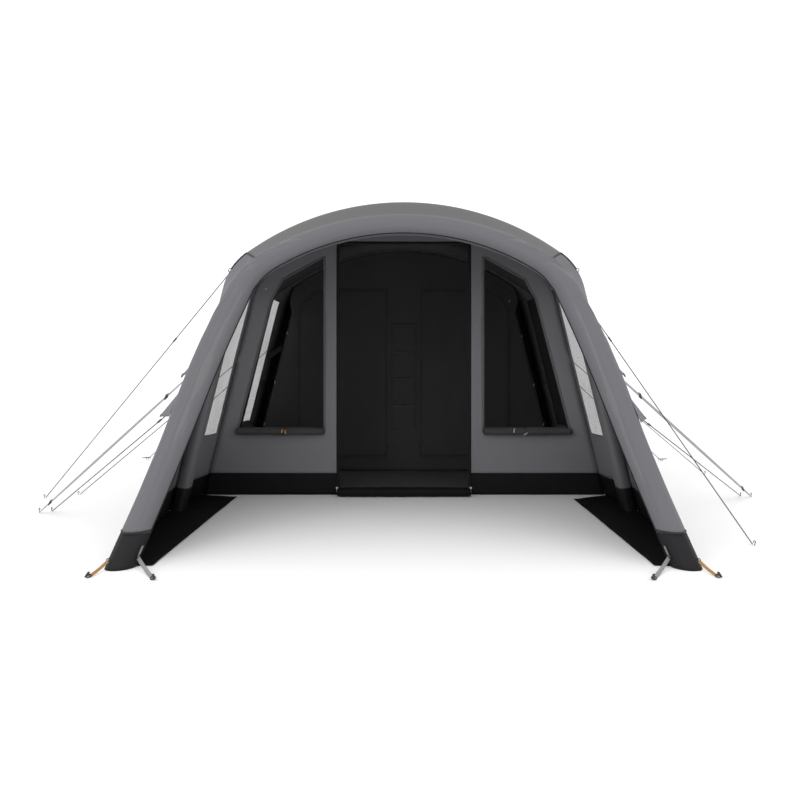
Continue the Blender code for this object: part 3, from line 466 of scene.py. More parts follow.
def gridShape(columns, rows, place, measure=None, keep=None):
    # a grid of cells whose corners are moved to place(column, row); measure gives the map in metres, which is
    # otherwise column and row
    shape = bmesh.new()
    across, along = len(columns) - 1, len(rows) - 1
    bmesh.ops.create_grid(shape, x_segments=across, y_segments=along, size=0.5)
    spots = {}
    for vert in shape.verts:
        spots[vert] = (columns[round((vert.co.x + 0.5) * across)], rows[round((vert.co.y + 0.5) * along)])
    if keep:
        gone = []
        for face in shape.faces:
            middle = [sum(spots[vert][k] for vert in face.verts) / 4 for k in (0, 1)]
            if not keep(*middle):
                gone.append(face)
        bmesh.ops.delete(shape, geom=gone, context="FACES")
    layer = shape.loops.layers.uv.new("cloth")
    for face in shape.faces:
        for loop in face.loops:
            loop[layer].uv = measure(*spots[loop.vert]) if measure else spots[loop.vert]
    for vert in shape.verts:
        vert.co = place(*spots[vert])
    return shape


def joined(shapes):
    pile = bmesh.new()
    pile.loops.layers.uv.new("cloth")
    for shape in shapes:
        mesh = bpy.data.meshes.new("part")
        shape.to_mesh(mesh)
        shape.free()
        pile.from_mesh(mesh)
        bpy.data.meshes.remove(mesh)
    return pile


def linked(name, data):
    made = bpy.data.objects.new(name, data)
    bpy.context.scene.collection.objects.link(made)
    return made


def addPiece(name, shape, finish, body="tent", thick=0, stands=None, sharp=None):
    mesh = bpy.data.meshes.new(name)
    shape.to_mesh(mesh)
    shape.free()
    mesh.materials.append(finish.material)
    mesh.shade_smooth()
    if sharp:
        mesh.set_sharp_from_angle(angle=math.radians(sharp))
    piece = linked(name, mesh)
    if thick:
        solid = piece.modifiers.new("thickness", "SOLIDIFY")
        solid.thickness, solid.offset = thick, 0
    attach(piece, body)
    if stands:
        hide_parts(stands)
    return piece


def addSheet(name, shape, finish, node, width, length=None, body="tent", thick=None):
    # a cloth piece in place of its part; a rolled one's length comes from its area, but neither it nor the
    # flat size is kept
    piece = addPiece(name, shape, finish, body, thick or skinSize["thick"], node)
    area = sum(polygon.area for polygon in piece.data.polygons)
    length = length or area / width
    area = min(max(area, 0.3 * width * length), width * length)


def cutPanel(shape, corners):
    # cuts a flat-sided hole whose corners are X and Z; cloth on the other side of X stays whole
    middle = Vector((sum(x for x, _ in corners) / len(corners), 0, sum(z for _, z in corners) / len(corners)))
    planes = []
    for (x, z), (nextX, nextZ) in zip(corners, corners[1:] + corners[:1]):
        side = Vector((nextZ - z, 0, x - nextX)).normalized()
        start = Vector((x, 0, z))
        if (middle - start).dot(side) > 0:
            side = -side
        planes.append((start, side))
    for start, side in planes:
        near = [face for face in shape.faces if face.calc_center_median().x * middle.x > 0]
        edges = {edge for face in near for edge in face.edges}
        verts = {vert for face in near for vert in face.verts}
        bmesh.ops.bisect_plane(shape, geom=[*near, *edges, *verts], plane_co=start, plane_no=side, dist=1e-5)
    inside = [face for face in shape.faces
              if all((face.calc_center_median() - start).dot(side) < 0 for start, side in planes)]
    bmesh.ops.delete(shape, geom=inside, context="FACES")


def ribbonShape(points, facing, width, lift=0, columns=2):
    # a tape along points, whose broad side faces one way, or a way of its own at each point
    facings = [facing] * len(points) if isinstance(facing, Vector) else facing
    lengths = [0]
    for near, far in zip(points, points[1:]):
        lengths.append(lengths[-1] + (far - near).length)

    def place(a, k):
        before, after = points[max(0, k - 1)], points[min(len(points) - 1, k + 1)]
        sideways = (after - before).cross(facings[k]).normalized()
        return points[k] + sideways * (a * width) + facings[k] * lift

    steps = [-0.5 + k / columns for k in range(columns + 1)]
    return gridShape(steps, range(len(points)), place, lambda a, k: (a * width, lengths[k]))


def tubeCurve(name, points, radius, finish):
    curve = bpy.data.curves.new(name, "CURVE")
    curve.dimensions = "3D"
    curve.bevel_depth = radius
    curve.bevel_resolution = 2
    curve.use_fill_caps = True
    line = curve.splines.new("POLY")
    line.points.add(len(points) - 1)
    for spot, point in zip(line.points, points):
        spot.co = (*point, 1)
    curve.materials.append(finish.material)
    tube = linked(name, curve)
    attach(tube, "tent")
    return tube


def closeEnds(shape, corners, closed=False):
    bmesh.ops.remove_doubles(shape, verts=shape.verts[:], dist=1e-6)
    if not closed:
        bmesh.ops.holes_fill(shape, edges=[edge for edge in shape.edges if edge.is_boundary], sides=corners)
    bmesh.ops.recalc_face_normals(shape, faces=shape.faces[:])


def tubeShape(points, radius, closed=False):
    # a tube as a mesh, for small fittings that are joined into one piece
    corners = 8
    rings = len(points)
    verticals = []
    for k in range(rings):
        before = points[(k - 1) % rings] if closed or k else points[0]
        after = points[(k + 1) % rings] if closed or k < rings - 1 else points[-1]
        along = (after - before).normalized()
        helper = Vector((0, 0, 1)) if abs(along.z) < 0.9 else Vector((1, 0, 0))
        across = along.cross(helper).normalized()
        verticals.append((points[k], across, along.cross(across)))
    order = list(range(rings)) + ([0] if closed else [])

    def place(turn, k):
        middle, across, over = verticals[order[k]]
        angle = math.tau * turn / corners
        return middle + (across * math.cos(angle) + over * math.sin(angle)) * radius

    turns = range(corners + 1)
    shape = gridShape(turns, range(len(order)), place, lambda turn, k: (turn * radius, k * radius))
    closeEnds(shape, corners, closed)
    return shape


def ringPoints(middle, axis, radius, count=16):
    turn = axis.to_track_quat("Z", "Y")
    return [middle + turn @ Vector((math.cos(a) * radius, math.sin(a) * radius, 0))
            for a in (math.tau * k / count for k in range(count))]


def blockShape(middle, along, over, size, bevel):
    # a rounded block: size runs along, across and over
    shape = bmesh.new()
    bmesh.ops.create_cube(shape, size=1)
    along = along.normalized()
    across = over.cross(along).normalized()
    over = along.cross(across)
    bmesh.ops.scale(shape, vec=size, verts=shape.verts[:])
    bmesh.ops.bevel(shape, geom=shape.edges[:], offset=bevel, offset_type="OFFSET", segments=2,
                    profile=0.5, affect="EDGES", clamp_overlap=True, material=-1)
    turn = Matrix((along, across, over)).transposed().to_4x4()
    bmesh.ops.transform(shape, matrix=Matrix.Translation(middle) @ turn, verts=shape.verts[:])
    shape.loops.layers.uv.new("cloth")
    return shape


def addCamera():
    view = dict(x=0.005, distance=4.2, height=1.06, lens=36.9, across=-0.0056, shift=-0.05)
    data = bpy.data.cameras.new("camera")
    data.lens, data.sensor_width = view["lens"], 36
    data.shift_x, data.shift_y = view["across"], view["shift"]
    camera = linked("camera", data)
    camera.location = (view["x"], at(-view["distance"]), view["height"])
    camera.rotation_euler = (math.pi / 2, 0, 0)
    bpy.context.scene.camera = camera


def addStudio():
    studio = dict(floor=60, sky=1.16, paper=0.97, lampSize=5.0, aim=Vector((0, 0, 0.9)),
                  lamps=(("key", 130, Vector((-3.2, -8.5, 4.4))), ("fill", 25, Vector((4.5, -7.0, 3.0)))))
    shape = bmesh.new()
    bmesh.ops.create_grid(shape, x_segments=1, y_segments=1, size=studio["floor"] / 2)
    mesh = bpy.data.meshes.new("floor")
    shape.to_mesh(mesh)
    shape.free()
    paper = bpy.data.materials.new("studio_floor")
    paper.use_nodes = True
    shader = paper.node_tree.nodes["Principled BSDF"]
    shader.inputs["Base Color"].default_value = (studio["paper"],) * 3 + (1,)
    shader.inputs["Roughness"].default_value = 0.9
    mesh.materials.append(paper)
    floor = linked("floor", mesh)
    floor.location.z = -0.001
    world = bpy.data.worlds.new("studio")
    world.use_nodes = True
    sky = world.node_tree.nodes["Background"]
    sky.inputs["Color"].default_value = (1, 1, 1, 1)
    sky.inputs["Strength"].default_value = studio["sky"]
    bpy.context.scene.world = world
    bpy.context.scene.view_settings.view_transform = "Standard"
    for name, power, place in studio["lamps"]:
        data = bpy.data.lights.new(name, "AREA")
        data.energy, data.size = power, studio["lampSize"]
        lamp = linked(name, data)
        lamp.location = place
        lamp.rotation_euler = (studio["aim"] - place).to_track_quat("-Z", "Y").to_euler()


def lineEnds(node):
    # where a line's solid starts on the tent and ends on the ground
    spots = [vert.co.copy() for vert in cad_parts[node].data.vertices]
    low = min(spots, key=lambda spot: spot.z)
    high = max(spots, key=lambda spot: spot.z)
    along = (low - high).normalized()
    reach = [spot.dot(along) for spot in spots]
    first = [spot for spot, far in zip(spots, reach) if far < min(reach) + 0.012]
    last = [spot for spot, far in zip(spots, reach) if far > max(reach) - 0.012]
    return sum(first, Vector()) / len(first), sum(last, Vector()) / len(last)


pegSize = dict(radius=0.0024, clear=0.012, sunk=0.0005, knee=0.004, kneeShare=0.6, slant=0.007, hook=0.006,
               tip=0.0125, barRadius=0.004, barHeight=0.02, barTilt=0.004)


def pegShape(place, along, head=0.02, bar=0):
    # a steel pin driven in at a slant, whose hook holds the loop down; some have a bar across
    hook = pegSize["hook"]
    back = levelled(along)
    foot = Vector((place.x, place.y, 0)) + back * pegSize["clear"]
    knee = foot + back * pegSize["knee"] + raised(head * pegSize["kneeShare"])
    points = [foot - raised(pegSize["sunk"]), knee]
    top = foot + back * pegSize["slant"] + raised(head)
    for k in range(7):
        turn = math.pi * k / 6
        points.append(top - back * (hook * (1 - math.cos(turn))) + raised(hook * math.sin(turn)))
    points.append(top - back * pegSize["tip"] - raised(hook))
    shapes = [tubeShape(points, pegSize["radius"])]
    if bar:
        middle = foot + raised(pegSize["barHeight"])
        ends = [middle - Vector((bar, 0, 0)), middle, middle + Vector((bar, 0, pegSize["barTilt"]))]
        shapes.append(tubeShape(ends, pegSize["barRadius"]))
    return joined(shapes)


lineSize = dict(ropeRadius=0.0032, ropeSteps=22, bar=0.045, strapWidth=0.025, strapThick=0.002, strapSteps=40,
                twist=0.35, strapPeg=0.026, buckles=((0.16, 0.036), (0.93, 0.042)), buckle=(0.034, 0.009),
                buckleBar=(0.007, 0.03, 0.006), barLift=0.005)
guyBeams = ("porch", "canopy", "living", "bedroom")
guyNames = ["_".join(["guy", beam, word]) for beam in guyBeams for _, word in sides]


def addCords(finishes):
    for name in guyNames:
        start, end = lineEnds(name)
        points = [start.lerp(end, k / lineSize["ropeSteps"]) for k in range(lineSize["ropeSteps"] + 1)]
        bar = lineSize["bar"] if "bedroom" in name else 0
        peg = addPiece("peg_" + name[4:], pegShape(end, end - start, bar=bar), finishes["peg"])
        rope = tubeCurve("rope_" + name[4:], points, lineSize["ropeRadius"], finishes["rope"])
        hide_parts(name)
        length = sum((far - near).length for near, far in zip(points, points[1:]))
        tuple(start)
    for side, word in sides:
        start, end = lineEnds("storm_strap_" + word)
        along = end - start
        steps = lineSize["strapSteps"]
        points = [start.lerp(end, k / steps) for k in range(steps + 1)]
        outward = Vector((side, 0, 0.2))
        facing = (outward - along * (outward.dot(along) / along.length_squared)).normalized()
        facings = []
        for k in range(steps + 1):
            turn = lineSize["twist"] * math.sin(math.pi * k / steps) * side
            facings.append((Matrix.Rotation(turn, 3, along.normalized()) @ facing).normalized())
        peg = addPiece("peg_storm_" + word, pegShape(end, along, lineSize["strapPeg"]), finishes["peg"])
        buckles = []
        for share, size in lineSize["buckles"]:
            k = round(share * steps)
            buckles.append(blockShape(points[k], along, facings[k], (size, *lineSize["buckle"]), 0.0025))
            middle = points[k] + facings[k] * lineSize["barLift"]
            buckles.append(blockShape(middle, along, facings[k], lineSize["buckleBar"], 0.0015))
        buckle = addPiece("strap_buckles_" + word, joined(buckles), finishes["fitting"], sharp=40)
        shape = ribbonShape(points, facings, lineSize["strapWidth"], columns=4)
        strap = addPiece("storm_webbing_" + word, shape, finishes["webbing"], thick=lineSize["strapThick"],
                         stands="storm_strap_" + word)
        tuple(start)
    print("cords and pegs are in")


def addTabs(finishes):
    # reinforcing triangles where the lines leave the cloth, with a ring at the tip
    tab = dict(canopy=(0.16, 0.085), small=(0.06, 0.024), other=(0.07, 0.045), tip=0.007, thick=0.003,
               inBand=0.03, inSkin=0.004, ring=0.009, strapRing=0.014, wire=0.0024)
    rings = []
    for name in [*guyNames, "storm_strap_left", "storm_strap_right"]:
        start, end = lineEnds(name)
        along = (end - start).normalized()
        side = 1 if start.x > 0 else -1
        onBand = "canopy" in name or "storm" in name
        if "guy_porch" in name:
            upright = Vector((-side * 0.55, 0, 0.83)).normalized()
        elif onBand:
            upright = canopyPlane.turned(canopyArch.up)
            upright.x *= side
        else:
            upright = Vector((-side * math.sin(tunnelSize["lean"]), 0, math.cos(tunnelSize["lean"])))
        kind = "canopy" if "canopy" in name else "small" if "storm" in name or "porch" in name else "other"
        reach, half = tab[kind]
        start = start - along * tab["inBand" if onBand else "inSkin"]
        if onBand:
            start.x += legBow(start.z / canopyPlane.up.z / (canopyArch.legLength * canopyArch.up.y)) * side

        def place(a, b):
            narrow = (1 - b) * (half - tab["tip"]) + tab["tip"]
            return start + upright * (a * narrow) + along * (b * reach)

        shape = gridShape(spaced(-1, 1, 0.25), spaced(0, 1, 0.1), place, lambda a, b: (a * half, b * reach))
        addPiece("tab_" + name, shape, finishes["canopy"], thick=tab["thick"])
        across = along.cross(upright).normalized()
        ring = ringPoints(start + along * reach, across, tab["strapRing" if "storm" in name else "ring"])
        rings.append(tubeShape(ring, tab["wire"], closed=True))
    addPiece("line_rings", joined(rings), finishes["fitting"])


def addSleeves(finishes):
    # each beam is a filled sleeve whose inner side puckers at the shoulders
    places = [(word, beamLine, Slope(beamSize[word])) for word in beamWords]
    valves = []
    for word, arch, plane in [("canopy", canopyArch, canopyPlane), *places]:
        rows = archRows(arch, 0, 6, skinSize["step"], archBreaks)
        turns = [math.tau * k / 28 for k in range(29)]

        def place(turn, row, over=0):
            near = nearFoot(row)
            bend = max(0, 1 - abs(near - 1.5) / 0.8)
            inner = max(0, -math.sin(turn))
            length = arch.lengthTo(row)
            pucker = 0.0022 * bend * inner * (0.5 + 0.5 * math.sin(length * 210 + math.sin(turn * 2)))
            lobes = 0.0005 * ruffle((math.cos(turn) * 0.2, math.sin(turn) * 0.2, length), 0.12)
            radius = beamSize["radius"] - 0.0006 - pucker + min(0, lobes) + over - pressedBy(word, row, inner)
            point = sectionPoint(arch, plane, row, turn, radius, levelNear(row, 0))
            if word == "canopy":
                point.x += legBow(row) * canopySize["beamBow"]
            return point

        def measure(turn, row):
            return (turn * beamSize["radius"], arch.lengthTo(row))

        shape = gridShape(turns, rows, place, measure)
        closeEnds(shape, 40)
        finish = finishes["beam" if word in ("canopy", "porch") else "bedroom"]
        addPiece("sleeve_" + word, shape, finish, stands="air_beam_" + word, sharp=60)
        if word == "porch":
            top = arch.rowAt(skinSize["mudHeight"])
            low = archRows(arch, skinSize["offGround"], top, skinSize["mudStep"])
            for side, rows in (("right", low), ("left", [6 - row for row in low])):
                shape = gridShape(turns, rows, lambda turn, row: place(turn, row, 0.0008), measure)
                addPiece("sleeve_foot_" + side, shape, finishes["foot"])
        turn = 0 if word == "rear" else math.pi
        middle = sectionPoint(arch, plane, arch.rowAt(beamSize["valve"]), turn, beamSize["radius"])
        valves.append(valveShape(middle, plane.front * math.cos(turn)))
    addPiece("valve_bodies", joined(valves), finishes["fitting"], sharp=35)
    print("sleeves are in")


def valveShape(middle, axis):
    # a flange with a raised rim, and the neck that the cap closes
    turn = axis.to_track_quat("Z", "Y").to_matrix().to_4x4()
    rim, inner, neck, low, high = 0.0235, 0.0155, 0.0128, 0.006, 0.0198
    profile = ((0, -0.008), (rim, -0.008), (rim, 0.0035), (0.022, low), (0.0165, low), (inner, 0.0045),
               (0.0135, 0.0045), (neck, low), (neck, 0.0185), (0.0118, high), (0, high))
    shape = bmesh.new()
    verts = [shape.verts.new((radius, 0, rise)) for radius, rise in profile]
    edges = [shape.edges.new(pair) for pair in zip(verts, verts[1:])]
    bmesh.ops.spin(shape, geom=[*verts, *edges], cent=(0, 0, 0), axis=(0, 0, 1), angle=math.tau, steps=28,
                   use_merge=True, use_duplicate=False)
    bmesh.ops.remove_doubles(shape, verts=shape.verts[:], dist=1e-6)
    bmesh.ops.recalc_face_normals(shape, faces=shape.faces[:])
    bmesh.ops.transform(shape, matrix=Matrix.Translation(middle) @ turn, verts=shape.verts[:])
    shape.loops.layers.uv.new("cloth")
    return shape


skinDepth = skinSize["cadThick"] / 2
stations = dict(start=beamSize["porch"] - beamSize["radius"],
                end=beamSize["rear"] + beamSize["radius"] + skinSize["cadThick"],
                frontWall=2.25, porchWindow=(1.67, 2.19), livingWindow=(3.03, 3.59))


def skinFold(row, station):
    # soft folds between the beams, which die out over each beam
    length = tunnel.lengthTo(row)
    slack = skinSag(station) / skinSize["sag"]
    low = max(0, 1 - nearFoot(row) / 0.5)
    folds = 0.004 * ruffle((length * 0.5, station * 1.6, 0), 0.35, 1) * slack
    folds += 0.0015 * ruffle((length * 2.2, station * 0.8, 3), 0.16, 2) * slack
    folds += 0.003 * ruffle((length * 0.4, station * 3.0, 9), 0.22, 4) * slack * low
    return folds


def foldedPoint(row, station, depth=0):
    return skinPoint(row, station, skinDepth + depth - skinFold(row, station))


def clothPoint(row, station):
    point = foldedPoint(row, station)
    point.z = max(skinSize["offGround"], point.z)
    return point


def skinMeasure(row, station):
    return (tunnel.lengthTo(row), station)


def addFlysheet(finishes):
    step = skinSize["step"]
    breaks = [stations["start"], beamSize["porch"], *stations["porchWindow"], beamSize["living"],
              *stations["livingWindow"], beamSize["bedroom"], beamSize["rear"], stations["end"]]
    columns = through(breaks, step)
    length = stations["end"] - stations["start"]
    rows = archRows(tunnel, 2, 4, step, (3,))
    addSheet("roof_cloth", gridShape(rows, columns, clothPoint, skinMeasure), finishes["roof"], "roof",
             tunnel.lengthTo(4) - tunnel.lengthTo(2), length)
    windowTop = skinSize["windowTopRow"]

    def solid(row, station):
        windows = (stations["porchWindow"], stations["livingWindow"])
        along = any(low < station < high for low, high in windows)
        return not (along and sillRow < nearFoot(row) < windowTop)

    for side, word in sides:
        def sided(rows):
            return rows if side > 0 else [6 - row for row in reversed(rows)]

        rows = sided(archRows(tunnel, mudRow, 2, step, (sillRow, 1, windowTop)))
        shape = gridShape(rows, columns, clothPoint, skinMeasure, solid)
        addSheet("side_cloth_" + word, shape, finishes["wall"], "side_" + word,
                 tunnel.lengthTo(2) - tunnel.lengthTo(mudRow), length)
        rows = sided(archRows(tunnel, 0, mudRow, skinSize["mudStep"]))
        addSheet("mud_cloth_" + word, gridShape(rows, columns, clothPoint, skinMeasure), finishes["mud"],
                 "mud_wall_" + word, tunnel.lengthTo(mudRow), length)
        rows = sided(archRows(tunnel, sillRow, windowTop, 0.04, (1,)))
        for where in ("porch", "living"):
            low, high = stations[where + "Window"]
            shape = gridShape(rows, spaced(low, high, 0.04), clothPoint, skinMeasure)
            width, tall = high - low, tunnel.lengthTo(windowTop) - tunnel.lengthTo(sillRow)
            addSheet("pane_" + where + "_" + word, shape, finishes["film"], where + "_window_" + word, width,
                     tall, thick=0.0006)
    low, high = stations["livingWindow"]

    # a dark blind hangs behind the right living window
    def blindPlace(row, station):
        return foldedPoint(row, station, 0.008 + 0.002 * ruffle((row, station, 2), 0.1))

    rows = archRows(tunnel, sillRow - 0.02, windowTop + 0.03, 0.03, (1,))
    shape = gridShape(rows, spaced(low - 0.02, high + 0.02, 0.04), blindPlace, skinMeasure)
    addSheet("window_blind", shape, finishes["bedroom"], None, high - low + 0.04, 1.3,
             thick=0.0008)
    print("flysheet is in")


def faceOut(row):
    # which way the tunnel's cloth faces; the straight legs face one way all along
    if 1 <= row <= 5:
        return standing(tunnel.outAt(row))
    return Vector((tunnel.out.x * (1 if row < 3 else -1), 0, tunnel.out.y))


seamSize = dict(width=0.016, thick=0.0008)


def seamAcross(rows, station, width, lift):
    points = [foldedPoint(row, station) for row in rows]
    return ribbonShape(points, [faceOut(row) for row in rows], width, lift)


def seamAlong(row, low, high, width, lift):
    points = [foldedPoint(row, station) for station in spaced(low, high, skinSize["step"])]
    return ribbonShape(points, faceOut(row), width, lift)


def addSeams(finishes):
    # felled seams along the roof's edges, beside each beam and along the mud walls, and the windows' tapes
    seam = dict(width=seamSize["width"], lift=0.0011, beside=0.086, atEnd=0.01)
    binding = dict(width=0.014, lift=0.0009)
    light, dark = [], []
    for row, seams in ((2, light), (4, light), (mudRow, dark), (6 - mudRow, dark)):
        seams.append(seamAlong(row, stations["start"], stations["end"], seam["width"], seam["lift"]))
    rows = archRows(tunnel, mudRow, 6 - mudRow, skinSize["step"], archBreaks)
    places = [beamSize[word] + away for word in beamWords[1:] for away in (-seam["beside"], seam["beside"])]
    for station in [*places, stations["start"] + seam["atEnd"]]:
        if station < stations["end"]:
            light.append(seamAcross(rows, station, seam["width"], seam["lift"]))
    addPiece("flysheet_seams", joined(light), finishes["seam"], thick=seamSize["thick"])
    addPiece("mud_wall_seams", joined(dark), finishes["darkSeam"], thick=seamSize["thick"])
    frames = []
    top = skinSize["windowTopRow"]
    for side in (-1, 1):
        for low, high in (stations["porchWindow"], stations["livingWindow"]):
            edge = [mirrorRow(row, side) for row in archRows(tunnel, sillRow, top, 0.04, (1,))]
            for station in (low, high):
                frames.append(seamAcross(edge, station, **binding))
            for row in (sillRow, top):
                frames.append(seamAlong(mirrorRow(row, side), low, high, **binding))
    addPiece("window_bindings", joined(frames), finishes["seam"], thick=0.0007)
    print("seams are in")


def addRearWall(finishes):
    rear = dict(belly=0.26, crown=tunnelSize["crown"], fold=0.004, inset=0.001, step=0.025, dense=1.9,
                topGap=0.0045, seams=(-0.45, 0.45), seamLift=0.0012, mudSeamLift=0.0014)
    start = stations["end"] + skinSize["gap"] + skinSize["cadThick"] / 2

    def place(share, height):
        swell = rear["belly"] * (1 - height / rear["crown"]) * (1 - abs(share) ** 3)
        fold = rear["fold"] * ruffle((share * 1.5, 0, height), 0.25, 5) * (1 - abs(share))
        return Vector((tunnel.widthAt(height, rear["inset"]) * share, at(start + swell + fold), height))

    def measure(share, height):
        return (share * tunnel.halfWidth, height)

    shares = spaced(-1, 1, rear["step"])
    heights = spaced(skinSize["offGround"], skinSize["mudHeight"], skinSize["mudStep"])
    shape = gridShape(shares, heights, place, measure)
    addSheet("rear_mud_cloth", shape, finishes["mud"], "rear_mud_wall", 3.4, 0.17)
    top = rear["crown"] - rear["topGap"]
    heights = crownward(skinSize["mudHeight"], rear["dense"], top, skinSize["step"], 12)
    shape = gridShape(shares, heights, place, measure)
    addSheet("rear_cloth", shape, finishes["wall"], "rear_wall", 3.3, 2.1)
    seams = []
    for share in rear["seams"]:
        points = [place(share, height) + backward * rear["seamLift"] for height in heights]
        seams.append(ribbonShape(points, backward, seamSize["width"]))
    addPiece("rear_seams", joined(seams), finishes["seam"], thick=seamSize["thick"])
    points = [place(share, skinSize["mudHeight"]) + backward * rear["mudSeamLift"] for share in shares]
    shape = ribbonShape(points, backward, seamSize["width"])
    addPiece("rear_mud_seam", shape, finishes["darkSeam"], thick=seamSize["thick"])


bandSize = dict(halfTurn=math.pi / 2, turns=36, step=0.016, piping=0.0042, pipingTurn=0.03, pipingLift=0.0015,
                legCreases=((-0.55, 0.25, 0.0035), (0.45, 0.35, 0.005), (1.05, 0.15, 0.003)),
                legCreaseWidth=0.13,
                creases=((2.02, 0.16, 0.009), (2.2, 0.3, 0.008), (2.36, 0.12, 0.008), (1.78, 0.22, 0.007)),
                creaseWidth=0.024)
bandFoot = skinSize["mudHeight"] / (canopyArch.legLength * canopyPlane.turned(canopyArch.up).z)


def bandRadius(row, angle):
    # the cloth round the canopy beam: long soft folds down the legs, and slanting creases at each shoulder
    length = canopyArch.lengthTo(row)
    near = nearFoot(row)
    leg = clamped(1.3 - near)
    folds = 0.0022 * math.sin(angle * 3.2 + length * 1.3) * leg
    folds += 0.0025 * ruffle((angle * 0.12, length * 0.5, 2), 0.12, 3)
    for middle, swing, deep in bandSize["legCreases"]:
        crease = middle + swing * math.sin(length * 1.9 + middle * 4)
        away = (angle - crease) / bandSize["legCreaseWidth"]
        folds -= deep * (0.35 + 0.65 * leg) * math.exp(-(away**2))
    shoulder = max(0, 1 - abs(near - 1.5) / 0.9)
    pleat = math.sin(length * 34 + angle * 2.5 + 2 * ruffle((length, angle * 0.3, 1), 0.3, 15))
    folds += 0.003 * shoulder * pleat * max(0, math.sin(angle + 0.6))
    folds -= 0.011 * shoulder * math.exp(-(((angle - 0.95 + 0.3 * (near - 1.5)) / 0.1) ** 2))
    for middle, slope, deep in bandSize["creases"]:
        away = (canopyArch.lengthTo(near) - middle + slope * angle) / bandSize["creaseWidth"]
        folds -= deep * math.exp(-away * away) * clamped(0.6 + angle)
    edge = min(1, (bandSize["halfTurn"] - abs(angle)) / 0.25) * min(1, 0.15 + near / 0.4)
    return bandOver - skinSize["cadThick"] / 2 + folds * edge


def bandPlace(angle, row, lift=0):
    level = levelNear(row, bandFoot) if nearFoot(row) >= bandFoot else 1
    point = sectionPoint(canopyArch, canopyPlane, row, angle, bandRadius(row, angle) + lift, level)
    share = canopySize["beamBow"]
    point.x += legBow(row) * (share + (1 - share) * (0.5 + 0.5 * math.sin(angle)))
    return point


def bandMeasure(angle, row):
    return (angle * bandOver, canopyArch.lengthTo(row))


def addBand(finishes):
    turn = bandSize["halfTurn"]
    angles = spaced(-turn, turn, 2 * turn / bandSize["turns"])
    rows = archRows(canopyArch, bandFoot, 6 - bandFoot, bandSize["step"], archBreaks)
    shape = gridShape(angles, rows, bandPlace, bandMeasure)
    addSheet("band_cloth", shape, finishes["canopy"], "front_band", bandOver * math.pi,
             canopyArch.lengthTo(6 - bandFoot) - canopyArch.lengthTo(bandFoot))
    inner = [bandPlace(bandSize["pipingTurn"] - turn, row, bandSize["pipingLift"])
             for row in archRows(canopyArch, 0.003, 5.997, 0.025, archBreaks)]
    tubeCurve("band_piping", inner, bandSize["piping"], finishes["piping"])
    for side, word in sides:
        ends = [0.0008, bandFoot] if side > 0 else [6 - bandFoot, 5.9992]
        shape = gridShape(angles, archRows(canopyArch, *ends, skinSize["mudStep"]), bandPlace, bandMeasure)
        addSheet("band_foot_cloth_" + word, shape, finishes["foot"], "band_foot_" + word, bandOver * math.pi,
                 canopyArch.lengthTo(bandFoot))
        row = mirrorRow(bandFoot, side)
        points = [bandPlace(angle, row, 0.0013) for angle in angles]
        facings = [(bandPlace(angle, row, 0.01) - bandPlace(angle, row)).normalized() for angle in angles]
        shape = ribbonShape(points, facings, seamSize["width"])
        addPiece("foot_seam_" + word, shape, finishes["darkSeam"], thick=seamSize["thick"])
    print("canopy band is in")


coverSize = dict(fold=0.004, shoulderFold=0.008, legFold=0.005, legSag=1.2, seam=0.012, seamLift=0.0016)


def coverPlace(row, share):
    # the cloth from the band back to the first beam
    front = sectionPoint(canopyArch, canopyPlane, row, math.pi / 2, bandOver - skinDepth, levelNear(row, 0))
    front -= canopyPlane.front * skinSize["gap"]
    rear = standing(tunnel.point(row, skinDepth), at(stations["start"] - skinSize["gap"]))
    near = nearFoot(row)
    leg = clamped(1.4 - near)
    shoulder = max(0, 1 - abs(near - 1.5) / 0.8)
    length = tunnel.lengthTo(row)
    fold = coverSize["fold"] * ruffle((length * 1.4, share * 0.6, 5), 0.2, 6)
    fold += coverSize["shoulderFold"] * shoulder * math.sin(length * 44 + share * 2)
    fold += coverSize["legFold"] * leg * math.sin(share * 8 + near * 3)
    sag = canopySize["sag"] * (1 - coverSize["legSag"] * leg) - fold
    sunk = tunnel.outAt(row) * (sag * math.sin(math.pi * share) ** 2)
    point = front.lerp(rear, share) - standing(sunk)
    point.x += legBow(row) * (1 - share)
    point.z = max(skinSize["offGround"], point.z)
    return point


